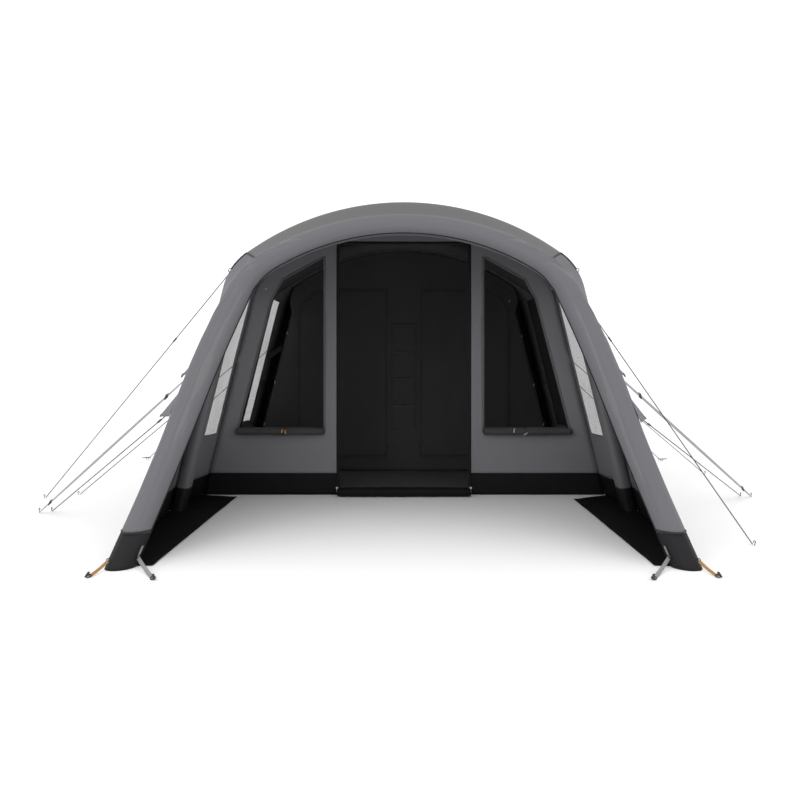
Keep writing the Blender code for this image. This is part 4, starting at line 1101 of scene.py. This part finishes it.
def addCanopy(finishes):
    shares = spaced(0, 1, 0.05)
    rows = archRows(tunnel, 2, 4, 0.025, (3,))

    def measure(row, share):
        return (tunnel.lengthTo(row), share * 1.2)

    addSheet("canopy_top_cloth", gridShape(rows, shares, coverPlace, measure), finishes["roof"], "canopy_top",
             tunnel.lengthTo(4) - tunnel.lengthTo(2), 0.85)
    seams = []
    for side, word in sides:
        def wingPlace(row, share):
            # rows are stretched so that the black foot ends at one height
            split = bandFoot + (mudRow - bandFoot) * share
            moved = 2 - (2 - row) * (2 - split) / (2 - mudRow) if row >= mudRow else row * split / mudRow
            return coverPlace(mirrorRow(moved, side), share)

        parts = (("cloth", mudRow, 2, (1,), "canopy", "canopy_wing_" + word),
                 ("foot", skinSize["offGround"], mudRow, (), "foot", None))
        for kind, low, high, breaks, finish, node in parts:
            shape = gridShape(archRows(tunnel, low, high, 0.025, breaks), shares, wingPlace, measure)
            addSheet("canopy_wing_" + kind + "_" + word, shape, finishes[finish], node,
                     tunnel.lengthTo(high) - tunnel.lengthTo(low), 1.6)
        row = mirrorRow(2, side)
        facing = faceOut(row)
        points = [coverPlace(row, share) + facing * coverSize["seamLift"] for share in shares]
        seams.append(ribbonShape(points, facing, coverSize["seam"]))
    addPiece("canopy_seams", joined(seams), finishes["darkSeam"], thick=seamSize["thick"])
    straps, rings = [], []
    strap = dict(share=0.96, low=1.47, high=2.0, width=0.022, ring=0.014)
    for side in (-1, 1):
        points, facings = [], []
        for k in range(17):
            row = mirrorRow(strap["low"] + (strap["high"] - strap["low"]) * k / 16, side)
            facings.append(standing(tunnel.outAt(row), -0.5).normalized())
            points.append(coverPlace(row, strap["share"]) + facings[-1] * 0.0045)
        straps.append(ribbonShape(points, facings, strap["width"]))
        middle = points[0] - raised(strap["ring"]) + facings[0] * 0.006
        across = Vector((0.3 * side, -1, 0)).normalized()
        rings.append(tubeShape(ringPoints(middle, across, strap["ring"]), 0.0028, closed=True))
    addPiece("shoulder_straps", joined(straps), finishes["piping"], thick=0.0014)
    addPiece("shoulder_rings", joined(rings), finishes["fitting"])
    print("canopy is in")


doorSize = dict(half=0.518, top=tunnelSize["crown"] - 0.18, windowInner=0.624,
                windowMargins=(0.142, 0.155, 0.165), windowTop=tunnelSize["crown"] - 0.283,
                windowHeights=(skinSize["sill"], tunnelSize["crown"] - 0.625, tunnelSize["crown"] - 0.467))


def finerLine(corners, step=0, count=1):
    # points along a line of corners: a step apart, or count of them from corner to corner
    line = []
    for (x, z), (nextX, nextZ) in zip(corners, corners[1:]):
        parts = max(1, round(math.hypot(nextX - x, nextZ - z) / step)) if step else count
        line += [(x + (nextX - x) * k / parts, z + (nextZ - z) * k / parts) for k in range(parts)]
    return [*line, corners[-1]]


wallDepth = skinSag(stations["frontWall"]) + skinSize["cadThick"] + skinSize["wallGap"]


def frontWindow():
    corners = [(doorSize["windowInner"], skinSize["sill"])]
    for height, margin in zip(doorSize["windowHeights"], doorSize["windowMargins"]):
        corners.append((tunnel.widthAt(height, wallDepth) - margin, height))
    corners.append((doorSize["windowInner"], doorSize["windowTop"]))
    return corners


def addFrontWall(finishes):
    depth = wallDepth + 0.0008
    middle = at(stations["frontWall"]) + skinSize["cadThick"] / 2
    half, top = doorSize["half"], doorSize["top"]

    def innerEdge(row):
        outer = tunnel.point(row, depth)
        side = 1 if outer.x > 0 else -1
        if outer.y < top:
            return Vector((side * half, outer.y))
        share = min(1, abs(outer.x) / tunnel.widthAt(top, depth))
        return Vector((side * half * share, top))

    def fold(x, z):
        return 0.0016 * ruffle((x * 1.6, z * 0.7, 4), 0.2, 7) + 0.0008 * ruffle((x * 3, z, 8), 0.1, 8)

    def place(row, share):
        flat = tunnel.point(row, depth).lerp(innerEdge(row), share)
        return Vector((flat.x, middle + fold(flat.x, flat.y), flat.y))

    def measure(row, share):
        flat = tunnel.point(row, depth).lerp(innerEdge(row), share)
        return (flat.x, flat.y)

    rows = archRows(tunnel, mudRow, 6 - mudRow, 0.025, archBreaks)
    shape = gridShape(rows, spaced(0, 1, 0.05), place, measure)
    corners = frontWindow()
    for side in (1, -1):
        cutPanel(shape, [(side * x, z) for x, z in corners])
    addSheet("front_wall_cloth", shape, finishes["wall"], "front_wall",
             2 * tunnel.widthAt(skinSize["mudHeight"], depth), 1.95)
    for side, word in sides:
        def mudPlace(share, height):
            x = half + (tunnel.widthAt(height, depth) - half) * share
            return Vector((side * x, middle + fold(x, height) * 1.5, height))

        heights = spaced(skinSize["offGround"], skinSize["mudHeight"], skinSize["mudStep"])
        addSheet("front_mud_cloth_" + word, gridShape(spaced(0, 1, 0.03), heights, mudPlace), finishes["mud"],
                 "front_mud_" + word, 1.13, skinSize["mudHeight"])
    tape = dict(zip=0.024, teeth=0.007, border=0.018, seam=0.014, thick=0.0009, borderThick=0.0007)
    zips, borders = [], []
    outerFace = middle - 0.0014

    def outline(points, width, lift=0.0):
        return ribbonShape([Vector((x, outerFace - lift, z)) for x, z in points], forward, width)

    door = [(-half, z) for z in spaced(0.01, top, 0.05)] + [(x, top) for x in spaced(-half, half, 0.05)][1:]
    door += [(half, z) for z in spaced(top, 0.01, 0.05)][1:]
    zips += [outline(door, tape["zip"]), outline(door, tape["teeth"], 0.0016)]
    for side in (1, -1):
        ring = [(side * x, z) for x, z in [*corners, corners[0]]]
        borders.append(outline(finerLine(ring, count=12), tape["border"]))
        edge = tunnel.widthAt(skinSize["mudHeight"], depth) - 0.01
        seam = [(side * x, skinSize["mudHeight"]) for x in spaced(half, edge, 0.03)]
        zips.append(outline(seam, tape["seam"]))
    addPiece("door_zips", joined(zips), finishes["piping"], thick=tape["thick"])
    addPiece("window_borders", joined(borders), finishes["seam"], thick=tape["borderThick"])
    print("front wall is in")


def spiralShape(middle, radius, core, pitch, low, high, seed, tail=(), flat=1.0, bulge=0.0):
    # rolled cloth: a spiral across, drawn out along X, with loose folds and slightly uneven ends
    loose = dict(wobble=0.002, fold=0.0035, slide=0.006, offGround=0.0008)
    turns = (radius - core) / pitch
    steps = spaced(0, turns, 1 / 22)
    tailSteps = [turns + 0.04 * (k + 1) for k in range(len(tail))]

    def place(x, step):
        span = (x - low) / (high - low)
        if step > turns + 1e-6:
            dy, dz = tail[tailSteps.index(step)]
            wobble = loose["wobble"] * ruffle((x * 2, step, 1), 0.3, seed)
            return Vector((x, middle[0] + dy, max(loose["offGround"], middle[1] + dz + wobble)))
        grown = core + (radius - core) * step / turns
        spot = (x * 1.3, math.cos(step * math.tau) * 0.1, math.sin(step * math.tau) * 0.1)
        grown += loose["fold"] * ruffle(spot, 0.11, seed)
        grown *= 1 - bulge * (2 * span - 1) ** 2
        angle = -math.pi / 2 + math.tau * (step - turns)
        slide = loose["slide"] * math.sin(step * 5) * (1 if span > 0.5 else -1) * abs(2 * span - 1) ** 8
        y = middle[0] + math.cos(angle) * grown
        z = middle[1] + math.sin(angle) * grown * flat
        return Vector((x + slide, y, max(loose["offGround"], z)))

    return gridShape(spaced(low, high, 0.012), [*steps, *tailSteps], place, lambda x, step: (x, step * 0.2))


def addRolls(finishes):
    roll = dict(radius=0.05, core=0.006, pitch=0.005, half=0.512, back=0.095, flat=0.74, thick=0.0014,
                coverRadius=0.034, coverPitch=0.0045, left=((-0.948, 0.507, 0.2), (-0.922, 0.5, -0.15)),
                right=((0.858, 0.512, 0.1), (0.9475, 0.485, 1.6)), tie=0.0018, tieReach=(0.0372, 0.0368),
                toggle=(0.034, 0.009, 0.008), toggleOut=0.038, coverOut=0.0365)
    wallLine = at(stations["frontWall"])
    rise = roll["radius"] * roll["flat"]
    middle = (wallLine - roll["back"], rise + 0.0022)
    tail = [(dy, -rise + 0.0002) for dy in (0.02, 0.045, 0.07, roll["back"])]
    shape = spiralShape(middle, roll["radius"], roll["core"], roll["pitch"], -roll["half"], roll["half"], 3,
                        tail, flat=roll["flat"], bulge=0.1)
    addSheet("rolled_door", shape, finishes["mud"], "door_roll", 2 * roll["half"],
             thick=roll["thick"])
    inner, outer = frontWindow()[0][0], frontWindow()[1][0]
    for side, word in sides:
        low, high = sorted((side * inner, side * outer))
        middle = (wallLine - roll["coverOut"], skinSize["sill"] + 0.014)
        shape = spiralShape(middle, roll["coverRadius"], roll["core"], roll["coverPitch"], low + 0.004,
                            high - 0.004, 5 + side, flat=0.95, bulge=0.12)
        addSheet("rolled_cover_" + word, shape, finishes["cover"], "window_roll_" + word, high - low,
                 thick=roll["thick"])
        ties, toggles = [], []
        out, over = roll["tieReach"]
        for x, height, lean in roll[word]:
            points = [Vector((x, middle[0] + math.cos(a) * out, middle[1] + math.sin(a) * over))
                      for a in (math.tau * k / 24 for k in range(24))]
            ties.append(tubeShape(points, roll["tie"], closed=True))
            spot = Vector((x, middle[0] - roll["toggleOut"], height))
            toggles.append(blockShape(spot, Vector((lean, 0, 1)), forward, roll["toggle"], 0.003))
        addPiece("cover_ties_" + word, joined(ties), finishes["piping"])
        addPiece("cover_toggles_" + word, joined(toggles), finishes["amber" if side < 0 else "toggle"])
    print("rolls are in")


def addGround(finishes):
    flap = dict(inner=1.29, start=0.02, clear=0.002, leftGap=0.11, rightGap=0.22, slantStart=1.66,
                height=0.001, ripple=0.0012, curl=0.004, round=0.006, straight=0.025)
    wall = stations["frontWall"]
    foot = beamSize["radius"] + flap["clear"]
    footWidth = bandOver / math.cos(canopySize["lean"]) + flap["clear"]
    footLength = bandOver / math.cos(canopySize["rake"]) + flap["clear"]

    def beamEdge(away):
        # how far the beam's foot reaches in at a distance along the tent from its middle
        for k in range(41):
            inner = k / 40
            radius = beamSize["radius"] - pressedBy("porch", 0, inner)
            if math.sqrt(1 - inner**2) * radius <= abs(away):
                return inner * radius / math.cos(tunnel.lean) + flap["clear"]
        return beamSize["radius"]

    for side, word in sides:
        rear = wall - flap[word + "Gap"]

        def outer(station):
            # round the band's foot, along the wing's foot, round the beam, then along the mud wall's foot
            if station < footLength:
                return canopyArch.halfWidth - footWidth * math.sqrt(1 - (station / footLength) ** 2)
            if station < beamSize["porch"] - foot + 0.001:
                wing = coverPlace(skinSize["offGround"], max(0, station / stations["start"]))
                return wing.x - flap["clear"]
            if station < beamSize["porch"] + foot + 0.001:
                return beamLine.halfWidth - beamEdge(station - beamSize["porch"])
            return tunnel.widthAt(0, skinSag(station)) - flap["clear"]

        def place(share, station):
            x = flap["inner"] + (outer(station) - flap["inner"]) * share
            begun = max(0, (station - flap["slantStart"]) / (rear - flap["slantStart"]))
            slant = (wall - 0.01 - rear) * share * begun
            ripple = flap["ripple"] * (1 + ruffle((x, station, 1), 0.07, 9))
            curl = flap["curl"] * max(0, 1 - share * 9) * (1 + ruffle((0, station, 3), 0.2, 11))
            return Vector((side * x, at(station + slant), flap["height"] + ripple + curl))

        columns, begin = [], flap["start"]
        for end, step in ((footLength, "round"), (beamSize["porch"] - foot, "straight"),
                          (beamSize["porch"] + foot, "round"), (rear, "straight")):
            columns += spaced(begin, end, flap[step])
            begin = end + flap["clear"]
        shape = gridShape(spaced(0, 1, 0.1), columns, place, lambda share, station: (share * 0.2, station))

        def corner(share, station):
            away = min(1, abs(station - beamSize["porch"]) / foot)
            end = tunnel.widthAt(0, 0) - flap["clear"]
            x = min(end - 0.001, beamLine.halfWidth + math.sqrt(1 - away**2) * foot / math.cos(tunnel.lean))
            return Vector((side * (x + (end - x) * share), at(station), 0.0022))

        columns = spaced(beamSize["porch"] - foot, beamSize["porch"] + foot, flap["round"])
        patch = gridShape(spaced(0, 1, 0.25), columns, corner, lambda share, station: (share * 0.05, station))
        addSheet("flap_cloth_" + word, joined([shape, patch]), finishes["mud"], "porch_flap_" + word, 0.22,
                 rear - flap["start"] + 0.05)
    low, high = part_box("groundsheet")

    def ground(x, y):
        return Vector((x, y, 0.002 + 0.0009 * ruffle((x, y, 0), 0.12, 12)))

    inset = 0.004
    columns, rows = (spaced(low[k] + inset, high[k] - inset, 0.04) for k in (0, 1))
    addSheet("groundsheet_cloth", gridShape(columns, rows, ground), finishes["ground"], "groundsheet",
             high.x - low.x, high.y - low.y)
    print("ground is in")


bedroomSize = dict(front=3.61, rear=5.62, inset=0.2, doorInner=0.165, doorOuter=1.0, doorBottom=0.14,
                   doorTop=tunnelSize["crown"] - 0.43, corner=0.3, doorGap=0.0006, zipOut=0.006,
                   zipLift=0.0022, zip=0.016, coil=0.005, coilLift=0.0012, cord=0.002)


def bedroomDoor(gap=0.0):
    size = bedroomSize
    near, far = size["doorInner"] + gap, size["doorOuter"] - gap
    low, high = size["doorBottom"] + gap, size["doorTop"]
    radius = size["corner"] - gap
    centre = (size["doorOuter"] - size["corner"], high - size["corner"])
    outline = [(near, low), (far, low)]
    outline += [(centre[0] + math.cos(a) * radius, centre[1] + math.sin(a) * radius)
                for a in (math.pi / 2 * k / 8 for k in range(9))]
    return [*outline, (near, high - gap)]


def hungFold(x, z):
    # the bedroom's front hangs in soft upright folds
    return 0.0011 * math.sin(x * 31 + 0.6 * math.sin(z * 2)) + 0.0006 * ruffle((x, z, 3), 0.15, 13)


def addBedroom(finishes):
    size = bedroomSize
    depth = size["inset"] + skinSize["cadThick"] / 2
    columns = spaced(size["front"] + 0.006, size["rear"] - 0.003, 0.05)

    def skin(row, station):
        span = (station - size["front"]) / (size["rear"] - size["front"])
        fold = 0.0014 * ruffle((tunnel.lengthTo(row) * 1.5, station, 6), 0.2, 14)
        flat = tunnel.point(row, depth + fold)
        slack = 0.0016 * math.sin(math.pi * span)
        return Vector((flat.x * (1 - slack / 2), at(station), max(0.001, flat.y)))

    rows = archRows(tunnel, 0, 6, 0.04, archBreaks)
    shell = gridShape(rows, columns, skin, skinMeasure)
    rear = at(size["rear"]) - 0.002

    def backPlace(share, height):
        return Vector((share * tunnel.widthAt(height, depth), rear, height))

    top = tunnelSize["crown"] - size["inset"] - 0.003
    heights = crownward(0.002, 1.7, top, 0.04, 12)

    def measure(share, height):
        return (share * 1.4, height)

    back = gridShape(spaced(-1, 1, 0.05), heights, backPlace, measure)
    floor = gridShape(spaced(-1.4, 1.4, 0.1), spaced(at(size["front"] + 0.006), rear, 0.1),
                      lambda x, y: Vector((x, y, 0.0022)))
    addSheet("bedroom_cloth", joined([shell, back, floor]), finishes["bedroom"], "bedroom_body", 5.6, 4.6)
    frontLine = at(size["front"]) + skinSize["cadThick"] / 2
    head = skinSag(size["front"]) + skinSize["cadThick"] + 0.0064
    edge = [tunnel.point(row, size["inset"] + 0.001 + (head - size["inset"]) * min(1, max(0, row - 1)))
            for row in archRows(tunnel, 0, 3, 0.03, (1, 2))]

    def halfAt(height):
        # half the front's width: it keeps off the legs and reaches the roof
        for low, high in zip(edge, edge[1:]):
            if height <= high.y:
                return low.x + (high.x - low.x) * max(0, height - low.y) / (high.y - low.y)
        return 0.001

    def frontPlace(share, height):
        x = share * halfAt(height)
        return Vector((x, frontLine + hungFold(x, height), height))

    top = edge[-1].y - 0.0005
    front = gridShape(spaced(-1, 1, 0.02), crownward(0.002, 1.75, top, 0.04, 14), frontPlace, measure)
    for side in (1, -1):
        cutPanel(front, [(side * x, z) for x, z in bedroomDoor()])
    addSheet("bedroom_front_cloth", front, finishes["bedroom"], "bedroom_front", 2.9, 2.09)
    for side, word in sides:
        heights = spaced(0.3, 1.45, 0.05)
        points = [Vector((side * (halfAt(z) + 0.001), frontLine - 0.004, z)) for z in heights]
        tubeCurve("bedroom_edge_cord_" + word, points, size["cord"], finishes["hem"])
    for side, word in sides:
        door = bedroomDoor(size["doorGap"])
        lowX, highX = door[0][0], door[1][0]
        leaf = gridShape(spaced(lowX, highX, 0.02), spaced(door[0][1], door[-1][1], 0.03),
                         lambda x, z: Vector((side * x, frontLine + hungFold(side * x, z), z)))
        trimLeaf(leaf, side)
        addSheet("bedroom_door_cloth_" + word, leaf, finishes["bedroom"], "bedroom_door_" + word,
                 highX - lowX, door[-1][1] - door[0][1], "bedroom_leaf_" + word)
        line = finerLine(bedroomDoor(-size["zipOut"]), 0.04)
        points = [Vector((side * x, frontLine - size["zipLift"], z)) for x, z in line]
        zipTape = ribbonShape(points, forward, size["zip"])
        points = [point + forward * size["coilLift"] for point in points]
        coil = ribbonShape(points, forward, size["coil"])
        addPiece("bedroom_zip_" + word, joined([zipTape, coil]), finishes["bedroom"], thick=0.0008)
    print("bedroom is in")


def trimLeaf(shape, side):
    # rounds the door's upper outer corner
    size = bedroomSize
    centre = (size["doorOuter"] - size["corner"], size["doorTop"] - size["corner"])
    radius = size["corner"] - size["doorGap"]
    for k in range(8):
        turn = math.pi / 2 * (k + 0.5) / 8
        start = Vector((side * (centre[0] + math.cos(turn) * radius), 0, centre[1] + math.sin(turn) * radius))
        out = Vector((side * math.cos(turn), 0, math.sin(turn)))
        geometry = [*shape.verts, *shape.edges, *shape.faces]
        bmesh.ops.bisect_plane(shape, geom=geometry, plane_co=start, plane_no=out, dist=1e-5,
                               clear_outer=True)


def addOrganiser(finishes):
    pocket = dict(count=4, height=0.257, bottom=0.38, half=0.115, swell=0.014, lip=0.014, hem=0.006,
                  base=0.0012, face=0.0028, edge=0.0042)
    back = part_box("organiser")[1].y
    shapes, hems = [], []
    top = pocket["bottom"] + pocket["count"] * pocket["height"]
    heights = spaced(pocket["bottom"], top, 0.03)
    shapes.append(gridShape(spaced(-pocket["half"], pocket["half"], 0.02), heights,
                            lambda x, z: Vector((x, back - pocket["base"], z))))
    for k in range(pocket["count"]):
        low = pocket["bottom"] + k * pocket["height"]
        mouth = low + pocket["height"] - pocket["lip"]

        def place(x, z):
            rise = (z - low) / (mouth - low)
            side = 1 - (x / pocket["half"]) ** 4
            sag = 0.006 * (1 - (x / pocket["half"]) ** 2) * rise**3
            out = pocket["swell"] * math.sin(math.pi / 2 * min(1, rise * 1.1)) * side
            return Vector((x, back - pocket["face"] - out, z - sag))

        columns = spaced(-pocket["half"], pocket["half"], 0.008)
        shapes.append(gridShape(columns, spaced(low, mouth, 0.012), place))
        line = [place(x, mouth) + forward * pocket["base"] for x in columns]
        hems.append(ribbonShape(line, forward, pocket["hem"]))
    for side in (-1, 1):
        line = [Vector((side * pocket["half"], back - pocket["edge"], z)) for z in heights]
        shapes.append(ribbonShape(line, forward, pocket["hem"]))
    columns = spaced(-pocket["half"], pocket["half"], 0.01)
    line = [Vector((x, back - pocket["edge"], pocket["bottom"] + pocket["hem"] / 2)) for x in columns]
    hems.append(ribbonShape(line, forward, pocket["hem"]))
    addSheet("pocket_organiser", joined(shapes), finishes["bedroom"], "organiser", 0.5, 1.15,
             thick=0.001)
    addPiece("pocket_hems", joined(hems), finishes["hem"], thick=0.0009)


def slackLine(start, end, count, sag):
    shares = [k / count for k in range(count + 1)]
    return [start.lerp(end, share) - raised(sag * math.sin(math.pi * share)) for share in shares]


def addToggles(finishes):
    # toggles and elastic loops that hold the bedroom to the flysheet, and small hooks under the roof
    loops, pins = [], []
    toggle = dict(loop=0.0013, sag=0.004, size=(0.026, 0.007, 0.006), hook=(0.02, 0.008, 0.007), bevel=0.0022,
                  tape=0.045, tapeHeight=1.13)
    frontLine = at(bedroomSize["front"])
    for side, heights in ((-1, (0.45, 0.85, 1.317)), (1, (0.45, 0.822, 1.285, 1.62))):
        for height in heights:
            inner = tunnel.widthAt(height, bedroomSize["inset"])
            outer = tunnel.widthAt(height, skinSag(bedroomSize["front"]) + skinSize["cadThick"] + 0.003)
            start = Vector((side * (inner - 0.004), frontLine - 0.004, height))
            end = Vector((side * (outer - 0.004), frontLine - 0.03, height + 0.02))
            loops.append(tubeShape(slackLine(start, end, 6, toggle["sag"]), toggle["loop"]))
            pins.append(blockShape(start + forward * 0.006, Vector((0.2, 0, 1)), forward, toggle["size"],
                                   toggle["bevel"]))
    height = toggle["tapeHeight"]
    inner, outer = (tunnel.widthAt(height, depth) for depth in (bedroomSize["inset"], 0.07))
    line = [Vector((-inner, frontLine - 0.008, height + 0.05)),
            Vector((-(inner + outer) / 2, frontLine - 0.012, height)),
            Vector((-outer + 0.01, frontLine - 0.02, height - 0.035))]
    loops.append(ribbonShape(line, forward, toggle["tape"]))
    wallLine = at(stations["frontWall"])
    for x, z in ((-1.1, 1.618), (-1.077, 1.768), (1.18, 1.62)):
        spot = Vector((x * 0.985, wallLine - 0.008, z))
        pins.append(blockShape(spot, Vector((1, 0, 0.4)), forward, toggle["hook"], toggle["bevel"]))
    addPiece("bedroom_loops", joined(loops), finishes["piping"])
    addPiece("bedroom_toggles", joined(pins), finishes["toggle"])


def addFootStraps(finishes):
    # a short strap from a ring on each side of a foot to its own peg
    strap = dict(thick=0.0022, ring=0.012, wire=0.0026, sag=0.004, head=(0.034, 0.013, 0.008), bevel=0.003,
                 ladder=dict(turn=38, height=0.045, rise=0.0, width=0.016, x=1.535, station=-0.2),
                 webbing=dict(turn=-70, height=0.05, rise=0.05, width=0.02, x=1.21, station=-0.24))
    for side, word in sides:
        for kind, finish in (("ladder", "ladder"), ("webbing", "silver")):
            size = strap[kind]

            def onFoot(height):
                row = mirrorRow(canopyArch.rowAt(height / canopyPlane.up.z), side)
                turn = math.radians(size["turn"])
                spot = sectionPoint(canopyArch, canopyPlane, row, turn, bandOver + 0.003, 1)
                spot.z = height
                return spot

            start = onFoot(size["height"])
            end = Vector((side * size["x"], at(size["station"]), 0.0035))
            out = (end - start).normalized()
            seen = Vector((0, -1, 0.3))
            facing = (seen - out * out.dot(seen)).normalized()
            points = slackLine(start + out * strap["ring"], end, 12, strap["sag"])
            pieces = [ribbonShape(points, facing, size["width"], columns=4)]
            if size["rise"]:
                upper = onFoot(size["height"] + size["rise"])
                points = [upper, upper.lerp(start, 0.5), start]
                pieces.append(ribbonShape(points, facing, size["width"], columns=4))
            addPiece("foot_" + kind + "_" + word, joined(pieces), finishes[finish], thick=strap["thick"])
            away = levelled(out)
            rings = []
            for middle, axis in ((start, facing), (end + raised(0.004), Vector((0, -0.5, 1)).normalized())):
                line = ringPoints(middle, axis, strap["ring"], 20)
                rings.append(tubeShape(line, strap["wire"], closed=True))
            addPiece("foot_ring_" + kind + "_" + word, joined(rings), finishes["fitting"])
            middle = end + away * 0.012 + raised(0.013)
            head = blockShape(middle, away - raised(0.7), raised(1), strap["head"], strap["bevel"])
            addPiece("foot_peg_" + kind + "_" + word, head, finishes["fitting"])
    print("foot straps are in")


def dressFittings(finishes):
    # the frame's own fittings keep their shape and take the finished materials
    for node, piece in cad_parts.items():
        if node.startswith(("valve_cap", "runner")):
            finish = finishes["fitting"]
        elif node.startswith("door_slider"):
            finish = finishes["zip"]
        else:
            continue
        for slot in piece.material_slots:
            slot.material = finish.material


addCamera()
addStudio()
finishes = makeFinishes()
addCords(finishes)
addTabs(finishes)
addSleeves(finishes)
addFlysheet(finishes)
addSeams(finishes)
addRearWall(finishes)
addBand(finishes)
addCanopy(finishes)
addFrontWall(finishes)
addRolls(finishes)
addGround(finishes)
addBedroom(finishes)
addOrganiser(finishes)
addToggles(finishes)
addFootStraps(finishes)
dressFittings(finishes)
